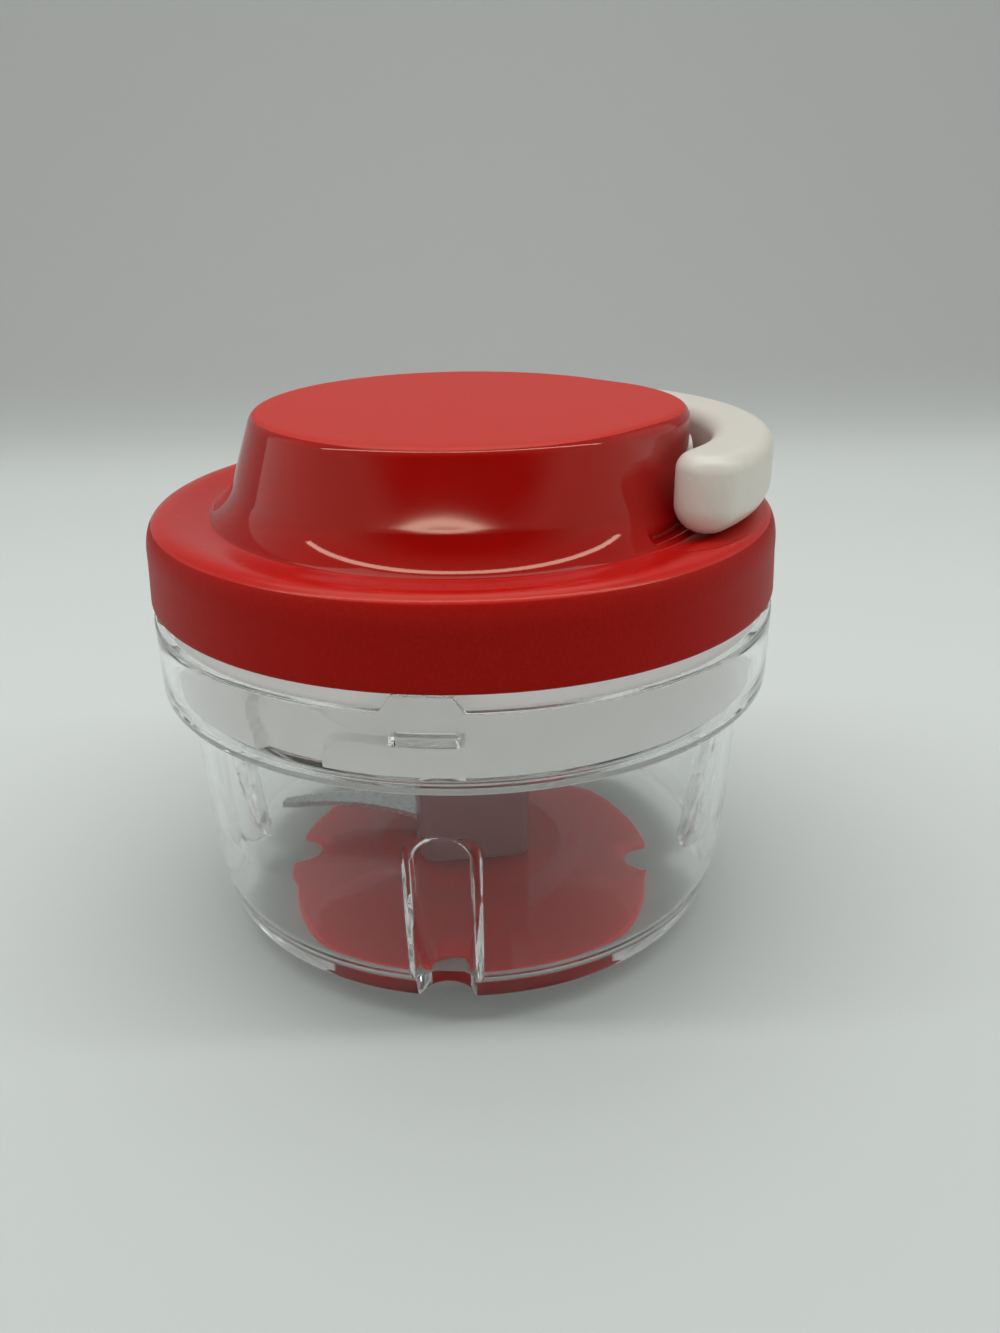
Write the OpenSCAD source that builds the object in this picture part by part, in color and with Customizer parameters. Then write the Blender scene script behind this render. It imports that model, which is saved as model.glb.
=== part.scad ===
// Manual pull cord food chopper: a clear bowl, a red bayonet lid with a cord reel
// and return spring inside, a crescent pull handle and a blade column.
// Millimetres. +Z is up, the origin is the middle of the pad's underside,
// and the handle is pulled along +X.

/* [Bowl] */
// How far the body lies inside the collar
collar_step = 4.5; // [3.5:0.1:5.5]
// How far the bottom edge lies inside the body
bowl_taper = 3.4; // [2:0.1:6]
// How far the body's wall leans in below the collar
wall_draft = 0.8; // [0.4:0.1:1.2]
// Height at which the wall curves in to the bottom edge
belly_h = 20; // [12:0.5:24]
// Height of the body below the collar
bowl_body_h = 46.5; // [42:0.1:60]
// Wall thickness
bowl_wall = 2.2; // [1.6:0.1:3]
// Floor thickness
bowl_floor = 2; // [1.8:0.1:4]
// Inner rounding between floor and wall
bowl_fillet = 5; // [4:0.5:8]
// Outer rounding at the bottom edge
bowl_edge = 1.2; // [0.8:0.1:2]
// Height of the collar that takes the lid
collar_h = 14; // [12:0.5:20]
// Wall thickness of the collar
collar_wall = 2; // [1.6:0.1:3]
// Thickness of the ledge under the collar
ledge_t = 1.2; // [1.2:0.1:3]
// Radius of the centre pin
pivot_r = 3; // [2.5:0.1:4]
// Height of the centre pin above the floor
pivot_h = 9; // [6:0.5:12]
// Height of the non-slip foot pad, which lifts the bowl off the table
pad_t = 5.7; // [4:0.1:7]
// How far the pad's rim lies inside the bowl's bottom edge
pad_inset = 12.1; // [9:0.1:14]
// Thickness of the pad's rim
pad_rim_t = 1.4; // [1.2:0.1:2.4]
// How far the pad's flat top lies inside its rim
pad_slope = 20; // [12:0.5:26]
// Radius of the notches in the pad's rim
pad_notch_r = 5.5; // [4:0.1:7]

/* [Flutes] */
// Number of flutes
flute_n = 4; // [3:1:6]
// Width of a flute
flute_w = 10.4; // [8:0.2:16]
// Wall thickness round a flute
flute_wall = 1.4; // [1.2:0.1:2.2]
// Height of a flute's arched top above the bowl's underside
flute_h = 35.7; // [24:0.1:40]
// Depth of a flute at the bottom edge
flute_depth = 4.8; // [3:0.2:9]
// Depth of a flute at its arched top
flute_top_depth = 1.2; // [0.6:0.1:2]
// Angle of the front flute
flute_az = -95.4; // [-110:0.2:-80]

/* [Bayonet] */
// Number of lugs
lug_n = 3; // [2:1:4]
// Half angle of a lug
lug_half = 5.4; // [4:0.2:8]
// Half angle of the tab on the rim above a lug
tab_half = 6.4; // [4:0.2:8]
// Height of a lug
lug_h = 1.6; // [1.4:0.1:3]
// Height from the top of a lug to the rim
lug_drop = 4.6; // [2:0.1:6]
// Angle of the front lug
lug_az = -96.8; // [-110:0.2:-80]
// Angle that the lid turns to unlock
lock_turn = 24; // [18:1:40]
// Depth of a lug inside the collar
lug_reach = 2.3; // [1.8:0.1:4]
// Gap between the rim and the red skirt
rim_gap = 3.2; // [2:0.1:5]

/* [Lid] */
// Radius of the red skirt's lower edge
lid_r = 59.5; // [59:0.1:61]
// Draft of the skirt over its height
skirt_draft = 0.4; // [0:0.1:1.5]
// Height of the skirt below its rounded edge
skirt_h = 8; // [6:0.1:14]
// Height of the shoulder's crown above the skirt's straight part
crown_h = 6.8; // [6:0.1:8]
// Width of the shoulder, from the skirt to the crease under the dome
shoulder_w = 12.1; // [11.5:0.1:13]
// Depth of the crease below the crown
crease_drop = 1; // [0.5:0.1:2]
// How far the dome's upright top edge lies inside the crease
dome_slope = 8.3; // [7:0.1:9]
// Height of the dome above the crease
dome_h = 18.2; // [17.6:0.1:26]
// Rounding of the dome's top edge
dome_edge = 2.4; // [2.3:0.1:4]
// Lean of the dome's side below its top edge
dome_lean = 19; // [12:1:21]
// Radius of the hollow flare at the foot of the dome's side
flare_r = 11; // [8:0.1:14]
// Wall thickness of the cover
lid_wall = 2.2; // [1.8:0.1:2.3]
// How far the cord boss stands out of the dome's edge
boss_out = 3.5; // [2.5:0.1:4]
// Radius of the cord boss in plan
boss_plan_r = 30; // [26:0.5:32]
// Air between the white insert's skirt and the collar
insert_gap = 1; // [0.8:0.1:2.8]
// Wall thickness of the white insert
insert_wall = 2.2; // [1.6:0.1:2.6]
// Gap between the insert's lip and the inside of the bowl's body
lip_gap = 0.6; // [0.5:0.1:1]
// How far the lip reaches below the ledge
lip_drop = 1.2; // [0.5:0.1:2]
// Thickness of the lip
lip_wall = 1.6; // [1.2:0.1:2]
// Depth of the bayonet slots
slot_depth = 1.7; // [1:0.1:1.8]
// How far the lid's screws lie inside the insert's skirt
lid_screw_inset = 7; // [6.5:0.1:7.6]
// Number of lid screws
lid_screw_n = 3; // [2:1:4]

/* [Handle] */
// Radius of the handle's bent centre line
handle_arc_r = 41.5; // [41:0.1:42]
// How far the handle's centre line lies inside the skirt
handle_inset = 7.4; // [7:0.1:7.8]
// Half angle of the bend
handle_half = 43; // [30:1:45]
// Thickness of the handle
handle_t = 11.2; // [10:0.1:11.4]
// Height of the handle
handle_h = 13.8; // [12.5:0.1:16]
// Rounding of the handle's upper edges
handle_top_round = 3; // [1:0.1:4]
// Rounding of the handle's lower edges
handle_low_round = 5.2; // [2:0.1:5.3]
// Radius of the knot chamber
knot_room_r = 3.9; // [3.6:0.1:4.2]
// Radius of the knot
knot_r = 3; // [2.4:0.1:3.2]

/* [Cord drive] */
// Diameter of the cord
cord_d = 2; // [1.5:0.1:2.4]
// Radius of the reel's core
core_r = 13; // [11:0.5:15]
// Radius of the upper reel flange
flange_r = 20; // [18:0.5:24]
// Thickness of the reel flanges
flange_t = 1.6; // [1.2:0.1:2]
// Height of the cord groove
groove_h = 8; // [6:0.5:9]
// Outer radius of the spring cup
cup_r = 24; // [20:0.5:28]
// Inside height of the spring cup
cup_h = 9; // [6:0.5:9.5]
// Wall thickness of the spring cup
cup_wall = 3; // [2.6:0.1:4]
// Radius of the axle
axle_r = 3; // [2.5:0.1:4]
// Radius of the spring arbor
arbor_r = 6; // [5:0.1:8]
// Turns of the spring at rest
spring_turns = 6; // [4:1:8]
// Thickness of the spring strip
spring_t = 0.5; // [0.3:0.05:0.7]
// Radius of the drive spigot
spigot_r = 8; // [7.6:0.1:9]
// Thickness of the drive plate
drive_plate_t = 1.8; // [1.4:0.1:2.2]
// Width of the square drive
square_w = 9; // [7:0.1:10]
// Length of the square drive
square_h = 7; // [5:0.5:8]

/* [Blades] */
// Width of the column's square foot
foot_w = 23; // [18:0.5:26]
// Height of the square foot
foot_h = 19; // [15:0.5:22]
// Rounding of the foot's upright corners
foot_round = 2.5; // [1:0.1:5]
// Turn of the column at rest
foot_turn = 6; // [0:1:45]
// Radius of the column's shaft
shaft_r = 8.6; // [8:0.1:10]
// Thickness of a blade
blade_t = 1.2; // [0.8:0.1:2]
// Width of a blade at its root
blade_w = 15; // [10:0.5:16]
// Air between the upper blades' tips and the wall
blade_gap = 6.8; // [5:0.1:10]
// How much shorter the lower blade is
blade_low_short = 3.5; // [3:0.5:6]
// Height of the lower blade above the foot's underside
blade_low_z = 5; // [4.5:0.5:6]
// Height from blade to blade
blade_step = 17.5; // [16:0.5:18]

/* [Clearances] */
// Radial play of a turning shaft
run_play = 0.05; // [0.02:0.01:0.1]
// Play of pieces that push together
push_play = 0.1; // [0.05:0.01:0.2]
// Air between pieces that move past each other
air = 0.4; // [0.3:0.05:0.6]
// Air round the handle in its seat
seat_air = 0.8; // [0.5:0.1:1]
// Air under the handle
seat_floor_air = 0.3; // [0.3:0.05:0.6]

/* [Hidden] */
$fn = 96;
far = 200;

// Heights of the bowl
bowl_z = pad_t;
floor_z = bowl_z + bowl_floor;
ledge_z = bowl_z + bowl_body_h;
rim_z = ledge_z + collar_h;
collar_r = lid_r;
collar_in = collar_r - collar_wall;
bowl_r = collar_r - collar_step;
bowl_base_r = bowl_r - bowl_taper;
body_in = bowl_r - bowl_wall;
lug_top = rim_z - lug_drop;
lug_r = collar_in - lug_reach;

// Heights of the lid
lid_z = rim_z + rim_gap;
skirt_top = lid_z + skirt_h;
crown_z = skirt_top + crown_h;
crease_z = crown_z - crease_drop;
top_z = crease_z + dome_h;
crease_r = lid_r - shoulder_w;
dome_r = crease_r - dome_slope;
boss_r = dome_r + boss_out;
boss_edge = 3.6;
boss_drop = 0.6;
boss_plan_in = boss_plan_r - boss_out - lid_wall;
insert_r = collar_in - insert_gap;
lid_screw_pcd_r = insert_r - lid_screw_inset;
plate_raise = 1.5;
plate_z = lid_z + plate_raise;
plate_top = plate_z + insert_wall;
plate_r = lid_r - lid_wall - air;
insert_low = ledge_z + ledge_t + air;
lip_r = body_in - lip_gap;
lip_low = ledge_z - lip_drop;
slot_floor = insert_r - slot_depth;
slot_low = lug_top - lug_h - air / 2;
slot_high = lug_top + air / 2;

// Dome's side: it leans out from the top edge, then a hollow arc runs out to the crease
lean_out = [cos(dome_lean), sin(dome_lean)];
lean_down = [sin(dome_lean), -cos(dome_lean)];
side_top = [dome_r - dome_edge, top_z - dome_edge] + dome_edge * lean_out;
flare_way = [crease_r, crease_z] - side_top - flare_r * lean_out;
flare_along = flare_way * lean_down;
side_l = flare_along - sqrt(flare_along * flare_along - flare_way * flare_way + flare_r * flare_r);
flare_mid = side_top + side_l * lean_down + flare_r * lean_out;
flare_end = atan2(flare_mid[1] - crease_z, flare_mid[0] - crease_r);
// Half angle at which the boss leaves the dome's edge, seen from the boss's own axis
boss_x = boss_r - boss_plan_r;
boss_half = acos((dome_r * dome_r - boss_plan_r * boss_plan_r - boss_x * boss_x)
                 / (2 * boss_plan_r * boss_x));

// Handle and cord
seat_depth = 0.4;
seat_past = 7;
seat_z = crown_z - seat_depth;
handle_z = seat_z + seat_floor_air;
handle_x = lid_r - handle_inset;
handle_arc_x = handle_x - handle_arc_r;
cord_r = cord_d / 2;
cord_z = handle_z + handle_h / 2;
cord_hole_r = cord_r + air;
plug_t = 1.8;
knot_room_h = cord_z + knot_r + push_play - handle_z;
eyelet_wall = 1.3;
eyelet_lip = 1;
eyelet_r = cord_hole_r + eyelet_wall;
eyelet_flange_r = eyelet_r + eyelet_lip;
eyelet_flange_t = 1.2;
eyelet_sink = 0.4;
eyelet_seat = boss_r - eyelet_sink;
eyelet_face = eyelet_seat + eyelet_flange_t;
eyelet_in = dome_r - lid_wall - 0.6;

// Reel, from the cord's height down to the square drive
groove_low = cord_z - groove_h / 2;
groove_high = cord_z + groove_h / 2;
cup_roof = groove_low - flange_t;
cup_low = cup_roof - cup_h;
drive_low = cup_low - drive_plate_t;
cup_in = cup_r - cup_wall;
bush_flange_t = drive_low - plate_top - air;
drive_bush_wall = 2;
bush_r = spigot_r + drive_bush_wall;
bush_flange_r = bush_r + drive_bush_wall;
winding_r = core_r + cord_d;
axle_boss_low = groove_high + flange_t + air;
axle_boss_wall = 3;
axle_boss_r = axle_r + axle_boss_wall;
axle_roof = 1.4;
axle_top = top_z - axle_roof;
coupler_top = plate_z - air;
coupler_wall = 2.4;
coupler_r = spigot_r + push_play + coupler_wall;
spigot_h = 5.2;
spigot_low = coupler_top - spigot_h;
coupler_floor = 3;
coupler_low = spigot_low - coupler_floor;
square_low = coupler_low - square_h;
washer_t = 0.8;
washer_r = axle_r + 2.4;
screw_r = 1.5;
screw_head_r = 2.8;
screw_head_t = 1.6;
screw_room = 1.6;
axle_low = spigot_low + screw_room + screw_head_t + washer_t;
washer_room_r = washer_r + air;
axle_screw_l = 8;
drum_screw_n = 3;
drum_screw_r = 0.9;
drum_screw_head_r = 1.5;
drum_screw_head_t = 0.9;
drum_screw_l = 5;
drum_screw_pcd_r = cup_r - cup_wall / 2;

// Lid screws
lid_screw_r = 1.4;
lid_screw_head_r = 2.7;
lid_screw_head_t = 1.7;
lid_screw_l = 8;
lid_boss_r = 3.4;
lid_screw_az = 40;

// Blade column
foot_z = floor_z + 2 * air;
foot_top = foot_z + foot_h;
column_top = coupler_low - air;
socket_depth = square_h + 3 * air;
bush_wall = 2;
pivot_bush_h = pivot_h - 2 * air;
blade_low_at = foot_z + blade_low_z;
blade_r = body_in - blade_gap;
blade_low_r = blade_r - blade_low_short;
tang_in = pivot_r + run_play + bush_wall + 1.2;

// Points of a curve pulled towards one control point
function bend(a, c, b, n = 8) =
    [for (i = [0 : n]) let (t = i / n, s = 1 - t) s * s * a + 2 * s * t * c + t * t * b];
// Points of a curve pulled towards two control points
function sweep(a, c, d, b, n = 10) =
    [for (i = [0 : n]) let (t = i / n, s = 1 - t)
        s * s * s * a + 3 * s * s * t * c + 3 * s * t * t * d + t * t * t * b];
// Points of an arc
function arc(cx, cy, r, a0, a1, n = 8) =
    [for (i = [0 : n]) let (a = a0 + (a1 - a0) * i / n) [cx + r * cos(a), cy + r * sin(a)]];
function reversed(p) = [for (i = [len(p) - 1 : -1 : 0]) p[i]];

// Pieces round the axis, one every turn / n
module ring_of(n, az = 0) {
    for (i = [0 : n - 1]) rotate([0, 0, az + i * 360 / n]) children();
}
// Part of a ring, from angle a0 to a1
module ring_part(r0, r1, z0, z1, a0, a1) {
    rotate([0, 0, a0])
        rotate_extrude(angle = a1 - a0)
            polygon([[r0, z0], [r1, z0], [r1, z1], [r0, z1]]);
}
module tube(r0, r1, z0, z1) {
    difference() {
        translate([0, 0, z0]) cylinder(r = r1, h = z1 - z0);
        translate([0, 0, z0 - 1]) cylinder(r = r0, h = z1 - z0 + 2);
    }
}
// Screw seen from its head, with the shank along +Z from z
module screw(r, head_r, head_t, l, z) {
    slot_w = head_r * 0.45;
    difference() {
        union() {
            translate([0, 0, z - head_t]) cylinder(r = head_r, h = head_t);
            translate([0, 0, z - 0.01]) cylinder(r = r, h = l + 0.01);
        }
        for (a = [0, 90])
            rotate([0, 0, a])
                translate([-head_r * 0.6, -slot_w / 2, z - head_t - 1])
                    cube([head_r * 1.2, slot_w, 1 + head_t / 2]);
    }
}

// Bowl

belly_pull = 6;
belly_pull_in = 11;
floor_in = body_in - bowl_taper / 2;
step_round = 0.8;
collar_round = 0.6;
rim_round = 0.6;
ledge_round = 0.5;
// Outside of the bowl's body, from the middle of its underside up to the collar
bowl_outer = concat(
    [[0, bowl_z]],
    arc(bowl_base_r - bowl_edge, bowl_z + bowl_edge, bowl_edge, -90, 0, 5),
    bend([bowl_base_r, bowl_z + bowl_edge], [bowl_r - 2 * wall_draft, bowl_z + belly_pull],
         [bowl_r - wall_draft, bowl_z + belly_h], 6),
    bend([bowl_r, ledge_z - step_round], [bowl_r, ledge_z], [bowl_r + step_round, ledge_z], 4));
bowl_collar = concat(
    arc(collar_r - collar_round, ledge_z + collar_round, collar_round, -90, 0, 4),
    arc(collar_r - rim_round, rim_z - rim_round, rim_round, 0, 90, 4),
    [[collar_in, rim_z], [collar_in, ledge_z + ledge_t]]);
bowl_inner = concat(
    arc(body_in + ledge_round, ledge_z + ledge_t - ledge_round, ledge_round, 90, 180, 3),
    bend([body_in - wall_draft, bowl_z + belly_h], [body_in - 2 * wall_draft, bowl_z + belly_pull_in],
         [floor_in, floor_z + bowl_fillet], 5),
    arc(floor_in - bowl_fillet, floor_z + bowl_fillet, bowl_fillet, 0, -90, 8),
    [[0, floor_z]]);

// Plan of a flute at the bottom edge, grown all round
module flute_plan(grow) {
    r = flute_w / 2 + grow;
    nose = bowl_base_r - flute_depth + flute_w / 2;
    translate([nose, 0]) circle(r = r);
    translate([nose, -r]) square([far, 2 * r]);
}
// Hollow of a flute: its plan, its arched front and its slanting back
module flute(grow) {
    r = flute_w / 2 + grow;
    top = bowl_z + flute_h;
    low = bowl_z - 1;
    back_low = bowl_base_r - flute_depth - grow;
    back_top = bowl_r - flute_top_depth - grow;
    slope = (back_top - back_low) / flute_h;
    intersection() {
        translate([0, 0, low]) linear_extrude(top + grow - low) flute_plan(grow);
        rotate([90, 0, 90])
            linear_extrude(far) {
                translate([0, top - flute_w / 2]) circle(r = r);
                translate([-r, low]) square([2 * r, top - flute_w / 2 - low]);
            }
        translate([0, far / 2, 0])
            rotate([90, 0, 0])
                linear_extrude(far)
                    polygon([[back_low - slope, low], [far, low], [far, top + grow],
                             [back_top + slope * grow, top + grow]]);
    }
}
module bowl() {
    tab_step = 0.15;
    color([0.86, 0.90, 0.90, 0.35]) {
        difference() {
            union() {
                rotate_extrude() polygon(concat(bowl_outer, bowl_collar, bowl_inner));
                intersection() {
                    rotate_extrude() polygon(concat(bowl_outer, [[bowl_r, ledge_z], [0, ledge_z]]));
                    ring_of(flute_n, flute_az) flute(flute_wall);
                }
                translate([0, 0, floor_z - 1]) cylinder(r = pivot_r, h = pivot_h + 1);
                ring_of(lug_n, lug_az) {
                    ring_part(lug_r, collar_in + 0.5, lug_top - lug_h, lug_top, -lug_half, lug_half);
                    ring_part(collar_in + tab_step, collar_r - tab_step, rim_z - 1, lid_z - air,
                              -tab_half, tab_half);
                }
            }
            ring_of(flute_n, flute_az) flute(0);
        }
    }
}
// Pad: a low cone with a thin rim, notched below the flutes
module base_pad() {
    pad_r = bowl_base_r - pad_inset;
    pad_chamfer = 0.5;
    color([0.62, 0.07, 0.06])
        difference() {
            rotate_extrude()
                polygon([[0, 0], [pad_r - pad_chamfer, 0], [pad_r, pad_chamfer], [pad_r, pad_rim_t],
                         [pad_r - pad_slope, pad_t], [0, pad_t]]);
            ring_of(flute_n, flute_az)
                translate([pad_r, 0, -1]) cylinder(r = pad_notch_r, h = pad_t + 2);
        }
}

// Lid

crown_pull = [6.2, -0.7];
edge_pull = [0.25, 3.3];
// Outline of the red cover from the middle of its top to its lower edge, set in by o
function cover_path(o) = concat(
    [[0, top_z - o]],
    arc(dome_r - dome_edge, top_z - dome_edge, dome_edge - o, 90, dome_lean, 6),
    arc(flare_mid[0], flare_mid[1], flare_r + o, 180 + dome_lean, 180 + flare_end, 8),
    sweep([crease_r, crease_z - o], [crease_r + crown_pull[0], crown_z + crown_pull[1] - o],
          [lid_r - skirt_draft + edge_pull[0] - o, crown_z + edge_pull[1] - o],
          [lid_r - skirt_draft - o, skirt_top], 14),
    [[lid_r - o, lid_z]]);

// Crescent of the handle's plan as a solid of revolution, for a section given as points [r, z]
// that run up the right side of the section from its middle. The round ends are a hair smaller.
end_step = 0.01;
module crescent(section, half = handle_half) {
    mid = (section[0][1] + section[len(section) - 1][1]) / 2;
    end = [for (p = section) [p[0] - end_step, p[1] + (p[1] < mid ? end_step : -end_step)]];
    translate([handle_arc_x, 0, 0]) {
        rotate([0, 0, -half])
            rotate_extrude(angle = 2 * half)
                polygon([for (p = concat(section, [for (q = reversed(section)) [-q[0], q[1]]]))
                         [handle_arc_r + p[0], p[1]]]);
        for (side = [-1, 1])
            rotate([0, 0, side * half])
                translate([handle_arc_r, 0, 0])
                    rotate_extrude() polygon(concat([[0, end[0][1]]], end, [[0, end[len(end) - 1][1]]]));
    }
}
module seat(grow, z0, z1) {
    r = handle_t / 2 + grow;
    crescent([[r, z0], [r, z1]], handle_half + seat_past);
}
module lid_boss_at() {
    ring_of(lid_screw_n, lid_screw_az) translate([lid_screw_pcd_r, 0, 0]) children();
}
module lid_cover() {
    seat_wall = 1.8;
    color([0.72, 0.06, 0.04])
        difference() {
            union() {
                rotate_extrude() polygon(concat(cover_path(0), reversed(cover_path(lid_wall))));
                translate([boss_x, 0, 0])
                    rotate([0, 0, -boss_half])
                        rotate_extrude(angle = 2 * boss_half)
                            polygon(concat(
                                [[boss_plan_in, crease_z], [boss_plan_r, crease_z]],
                                arc(boss_plan_r - boss_edge, top_z - boss_drop - boss_edge, boss_edge,
                                    0, 90, 6),
                                [[boss_plan_in, top_z - boss_drop]]));
                intersection() {
                    rotate_extrude() polygon(concat(cover_path(0), [[0, lid_z]]));
                    seat(seat_air + seat_wall, seat_z - seat_wall, top_z);
                }
                lid_boss_at()
                    translate([0, 0, plate_top]) cylinder(r = lid_boss_r, h = crease_z - 1 - plate_top);
                translate([0, 0, axle_boss_low]) cylinder(r = axle_boss_r, h = top_z - 1 - axle_boss_low);
            }
            seat(seat_air, seat_z, far);
            lid_boss_at() translate([0, 0, plate_top - 1]) cylinder(r = lid_screw_r, h = lid_screw_l + 1);
            translate([0, 0, axle_boss_low - 1]) cylinder(r = axle_r, h = axle_top - axle_boss_low + 1);
            translate([eyelet_in, 0, cord_z])
                rotate([0, 90, 0]) cylinder(r = eyelet_r + push_play, h = far);
            translate([eyelet_seat, 0, cord_z])
                rotate([0, 90, 0]) cylinder(r = eyelet_flange_r + push_play, h = far);
        }
}
// Bayonet slot: a level run that ends at the locked lug, and a way in from below
module bayonet_slot() {
    slack = 0.7;
    enter_half = lug_half + 1;
    ring_part(slot_floor, insert_r + 1, slot_low, slot_high, -lock_turn - enter_half, lug_half + slack);
    ring_part(slot_floor, insert_r + 1, insert_low - 1, slot_high,
              -lock_turn - enter_half, -lock_turn + enter_half);
}
module lid_insert() {
    skirt_in = insert_r - insert_wall;
    lip_in = lip_r - lip_wall;
    color([0.93, 0.92, 0.90])
        difference() {
            rotate_extrude()
                polygon([[bush_r, plate_z], [skirt_in, plate_z], [skirt_in, insert_low + lip_wall],
                         [lip_in, insert_low + lip_wall], [lip_in, lip_low], [lip_r, lip_low],
                         [lip_r, insert_low],
                         [insert_r - 0.5, insert_low], [insert_r, insert_low + 0.5], [insert_r, plate_z],
                         [plate_r, plate_z], [plate_r, plate_top], [bush_r, plate_top]]);
            ring_of(lug_n, lug_az) bayonet_slot();
            lid_boss_at() translate([0, 0, plate_z - 1]) cylinder(r = lid_screw_r, h = insert_wall + 2);
        }
}
module lid_screws() {
    color("silver")
        lid_boss_at()
            screw(lid_screw_r, lid_screw_head_r, lid_screw_head_t, insert_wall + lid_screw_l - 1, plate_z);
}
module cord_eyelet() {
    color([0.9, 0.88, 0.84])
        translate([0, 0, cord_z])
            rotate([0, 90, 0]) {
                tube(cord_hole_r, eyelet_r, eyelet_in, eyelet_seat);
                tube(cord_hole_r, eyelet_flange_r, eyelet_seat, eyelet_face);
            }
}

// Reel and spring

module axle() {
    color("silver")
        difference() {
            translate([0, 0, axle_low]) cylinder(r = axle_r, h = axle_top - axle_low);
            translate([0, 0, axle_low - 1]) cylinder(r = screw_r, h = axle_screw_l + 1);
        }
}
module axle_washer() {
    color("gainsboro") tube(screw_r, washer_r, axle_low - washer_t, axle_low);
}
module axle_screw() {
    color("silver")
        screw(screw_r, screw_head_r, screw_head_t, axle_screw_l + washer_t - 1, axle_low - washer_t);
}
module spring_arbor() {
    color("goldenrod") tube(axle_r, arbor_r, cup_low + air, cup_roof - air);
}
// One spiral strip from the arbor to the wall of the cup
module mainspring() {
    steps = 24 * spring_turns;
    low_r = arbor_r + 0.3;
    high_r = cup_in - spring_t - 0.3;
    function at(i) = low_r + (high_r - low_r) * i / steps;
    function strip(o) = [for (i = [0 : steps]) let (a = i * 360 / 24) (at(i) + o) * [cos(a), sin(a)]];
    color("slategray")
        translate([0, 0, cup_low + 2 * air])
            linear_extrude(cup_h - 4 * air)
                polygon(concat(strip(0), reversed(strip(spring_t))));
}
module drive_bush() {
    color("burlywood") {
        tube(spigot_r + run_play, bush_r, plate_z, plate_top);
        tube(spigot_r + run_play, bush_flange_r, plate_top, plate_top + bush_flange_t);
    }
}
module drum_screw_at() {
    ring_of(drum_screw_n) translate([drum_screw_pcd_r, 0, 0]) children();
}
module drum() {
    color([0.92, 0.92, 0.90])
        difference() {
            rotate_extrude()
                polygon([[axle_r + run_play, cup_roof], [cup_in, cup_roof], [cup_in, cup_low],
                         [cup_r, cup_low], [cup_r, groove_low], [core_r, groove_low],
                         [core_r, groove_high], [flange_r, groove_high],
                         [flange_r, groove_high + flange_t], [axle_r + run_play, groove_high + flange_t]]);
            drum_screw_at() translate([0, 0, cup_low - 1]) cylinder(r = drum_screw_r, h = drum_screw_l + 1);
        }
}
module drive_plate() {
    color([0.92, 0.92, 0.90])
        difference() {
            rotate_extrude()
                polygon([[axle_r + run_play, axle_low + air], [washer_room_r, axle_low + air],
                         [washer_room_r, spigot_low], [spigot_r, spigot_low], [spigot_r, drive_low],
                         [cup_r, drive_low], [cup_r, cup_low], [axle_r + run_play, cup_low]]);
            drum_screw_at() {
                translate([0, 0, drive_low - 1]) cylinder(r = drum_screw_r, h = drive_plate_t + 2);
                translate([0, 0, drive_low - 1])
                    cylinder(r = drum_screw_head_r + push_play, h = drum_screw_head_t + 1);
            }
        }
}
module drum_screws() {
    color("silver")
        drum_screw_at()
            screw(drum_screw_r, drum_screw_head_r, drum_screw_head_t,
                  drive_plate_t - drum_screw_head_t + drum_screw_l - 1, drive_low + drum_screw_head_t);
}

// Cord

// One layer of turns on the reel's core
module cord_winding() {
    turns_h = groove_h - cord_d;
    color("ivory") tube(core_r, winding_r, cord_z - turns_h / 2, cord_z + turns_h / 2);
}
// Straight run from the reel to the eyelet, then through the eyelet
cord_turn_x = eyelet_in - cord_d;
cord_line_r = core_r + cord_r;
cord_tangent = acos(cord_line_r / cord_turn_x);
cord_leave = [cord_line_r * cos(cord_tangent), -cord_line_r * sin(cord_tangent)];
cord_clear_r = winding_r + cord_r + air;
cord_skip = sqrt(cord_clear_r * cord_clear_r - cord_line_r * cord_line_r);
cord_heading = 90 - cord_tangent;
module cord_run() {
    run_l = cord_turn_x * sin(cord_tangent) - cord_skip;
    color("ivory") {
        translate([cord_leave[0], cord_leave[1], cord_z])
            rotate([0, 0, cord_heading])
                translate([cord_skip, 0, 0]) rotate([0, 90, 0]) cylinder(r = cord_r, h = run_l, $fn = 24);
        translate([cord_turn_x, 0, cord_z]) sphere(r = cord_r * 1.15, $fn = 24);
        translate([cord_turn_x, 0, cord_z])
            rotate([0, 90, 0]) cylinder(r = cord_r, h = eyelet_face - cord_turn_x, $fn = 24);
    }
}
// Short length outside, from the eyelet to the knot in the handle
module cord_lead() {
    color("ivory")
        translate([eyelet_face, 0, cord_z])
            rotate([0, 90, 0]) cylinder(r = cord_r, h = handle_x - knot_r - eyelet_face, $fn = 24);
}
module cord_knot() {
    color("ivory") translate([handle_x, 0, cord_z]) sphere(r = knot_r, $fn = 48);
}

// Handle

handle_section = concat(
    arc(handle_t / 2 - handle_low_round, handle_z + handle_low_round, handle_low_round, -90, 0, 8),
    arc(handle_t / 2 - handle_top_round, handle_z + handle_h - handle_top_round, handle_top_round,
        0, 90, 6));
module handle() {
    color([0.93, 0.91, 0.86])
        difference() {
            crescent(handle_section);
            translate([handle_x, 0, handle_z - 1]) cylinder(r = knot_room_r, h = knot_room_h + 1);
            translate([handle_x - handle_t, 0, cord_z])
                rotate([0, 90, 0]) cylinder(r = cord_hole_r, h = handle_t);
        }
}
module handle_plug() {
    color([0.93, 0.91, 0.86])
        translate([handle_x, 0, handle_z]) cylinder(r = knot_room_r, h = plug_t);
}

// Drive and blades

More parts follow.
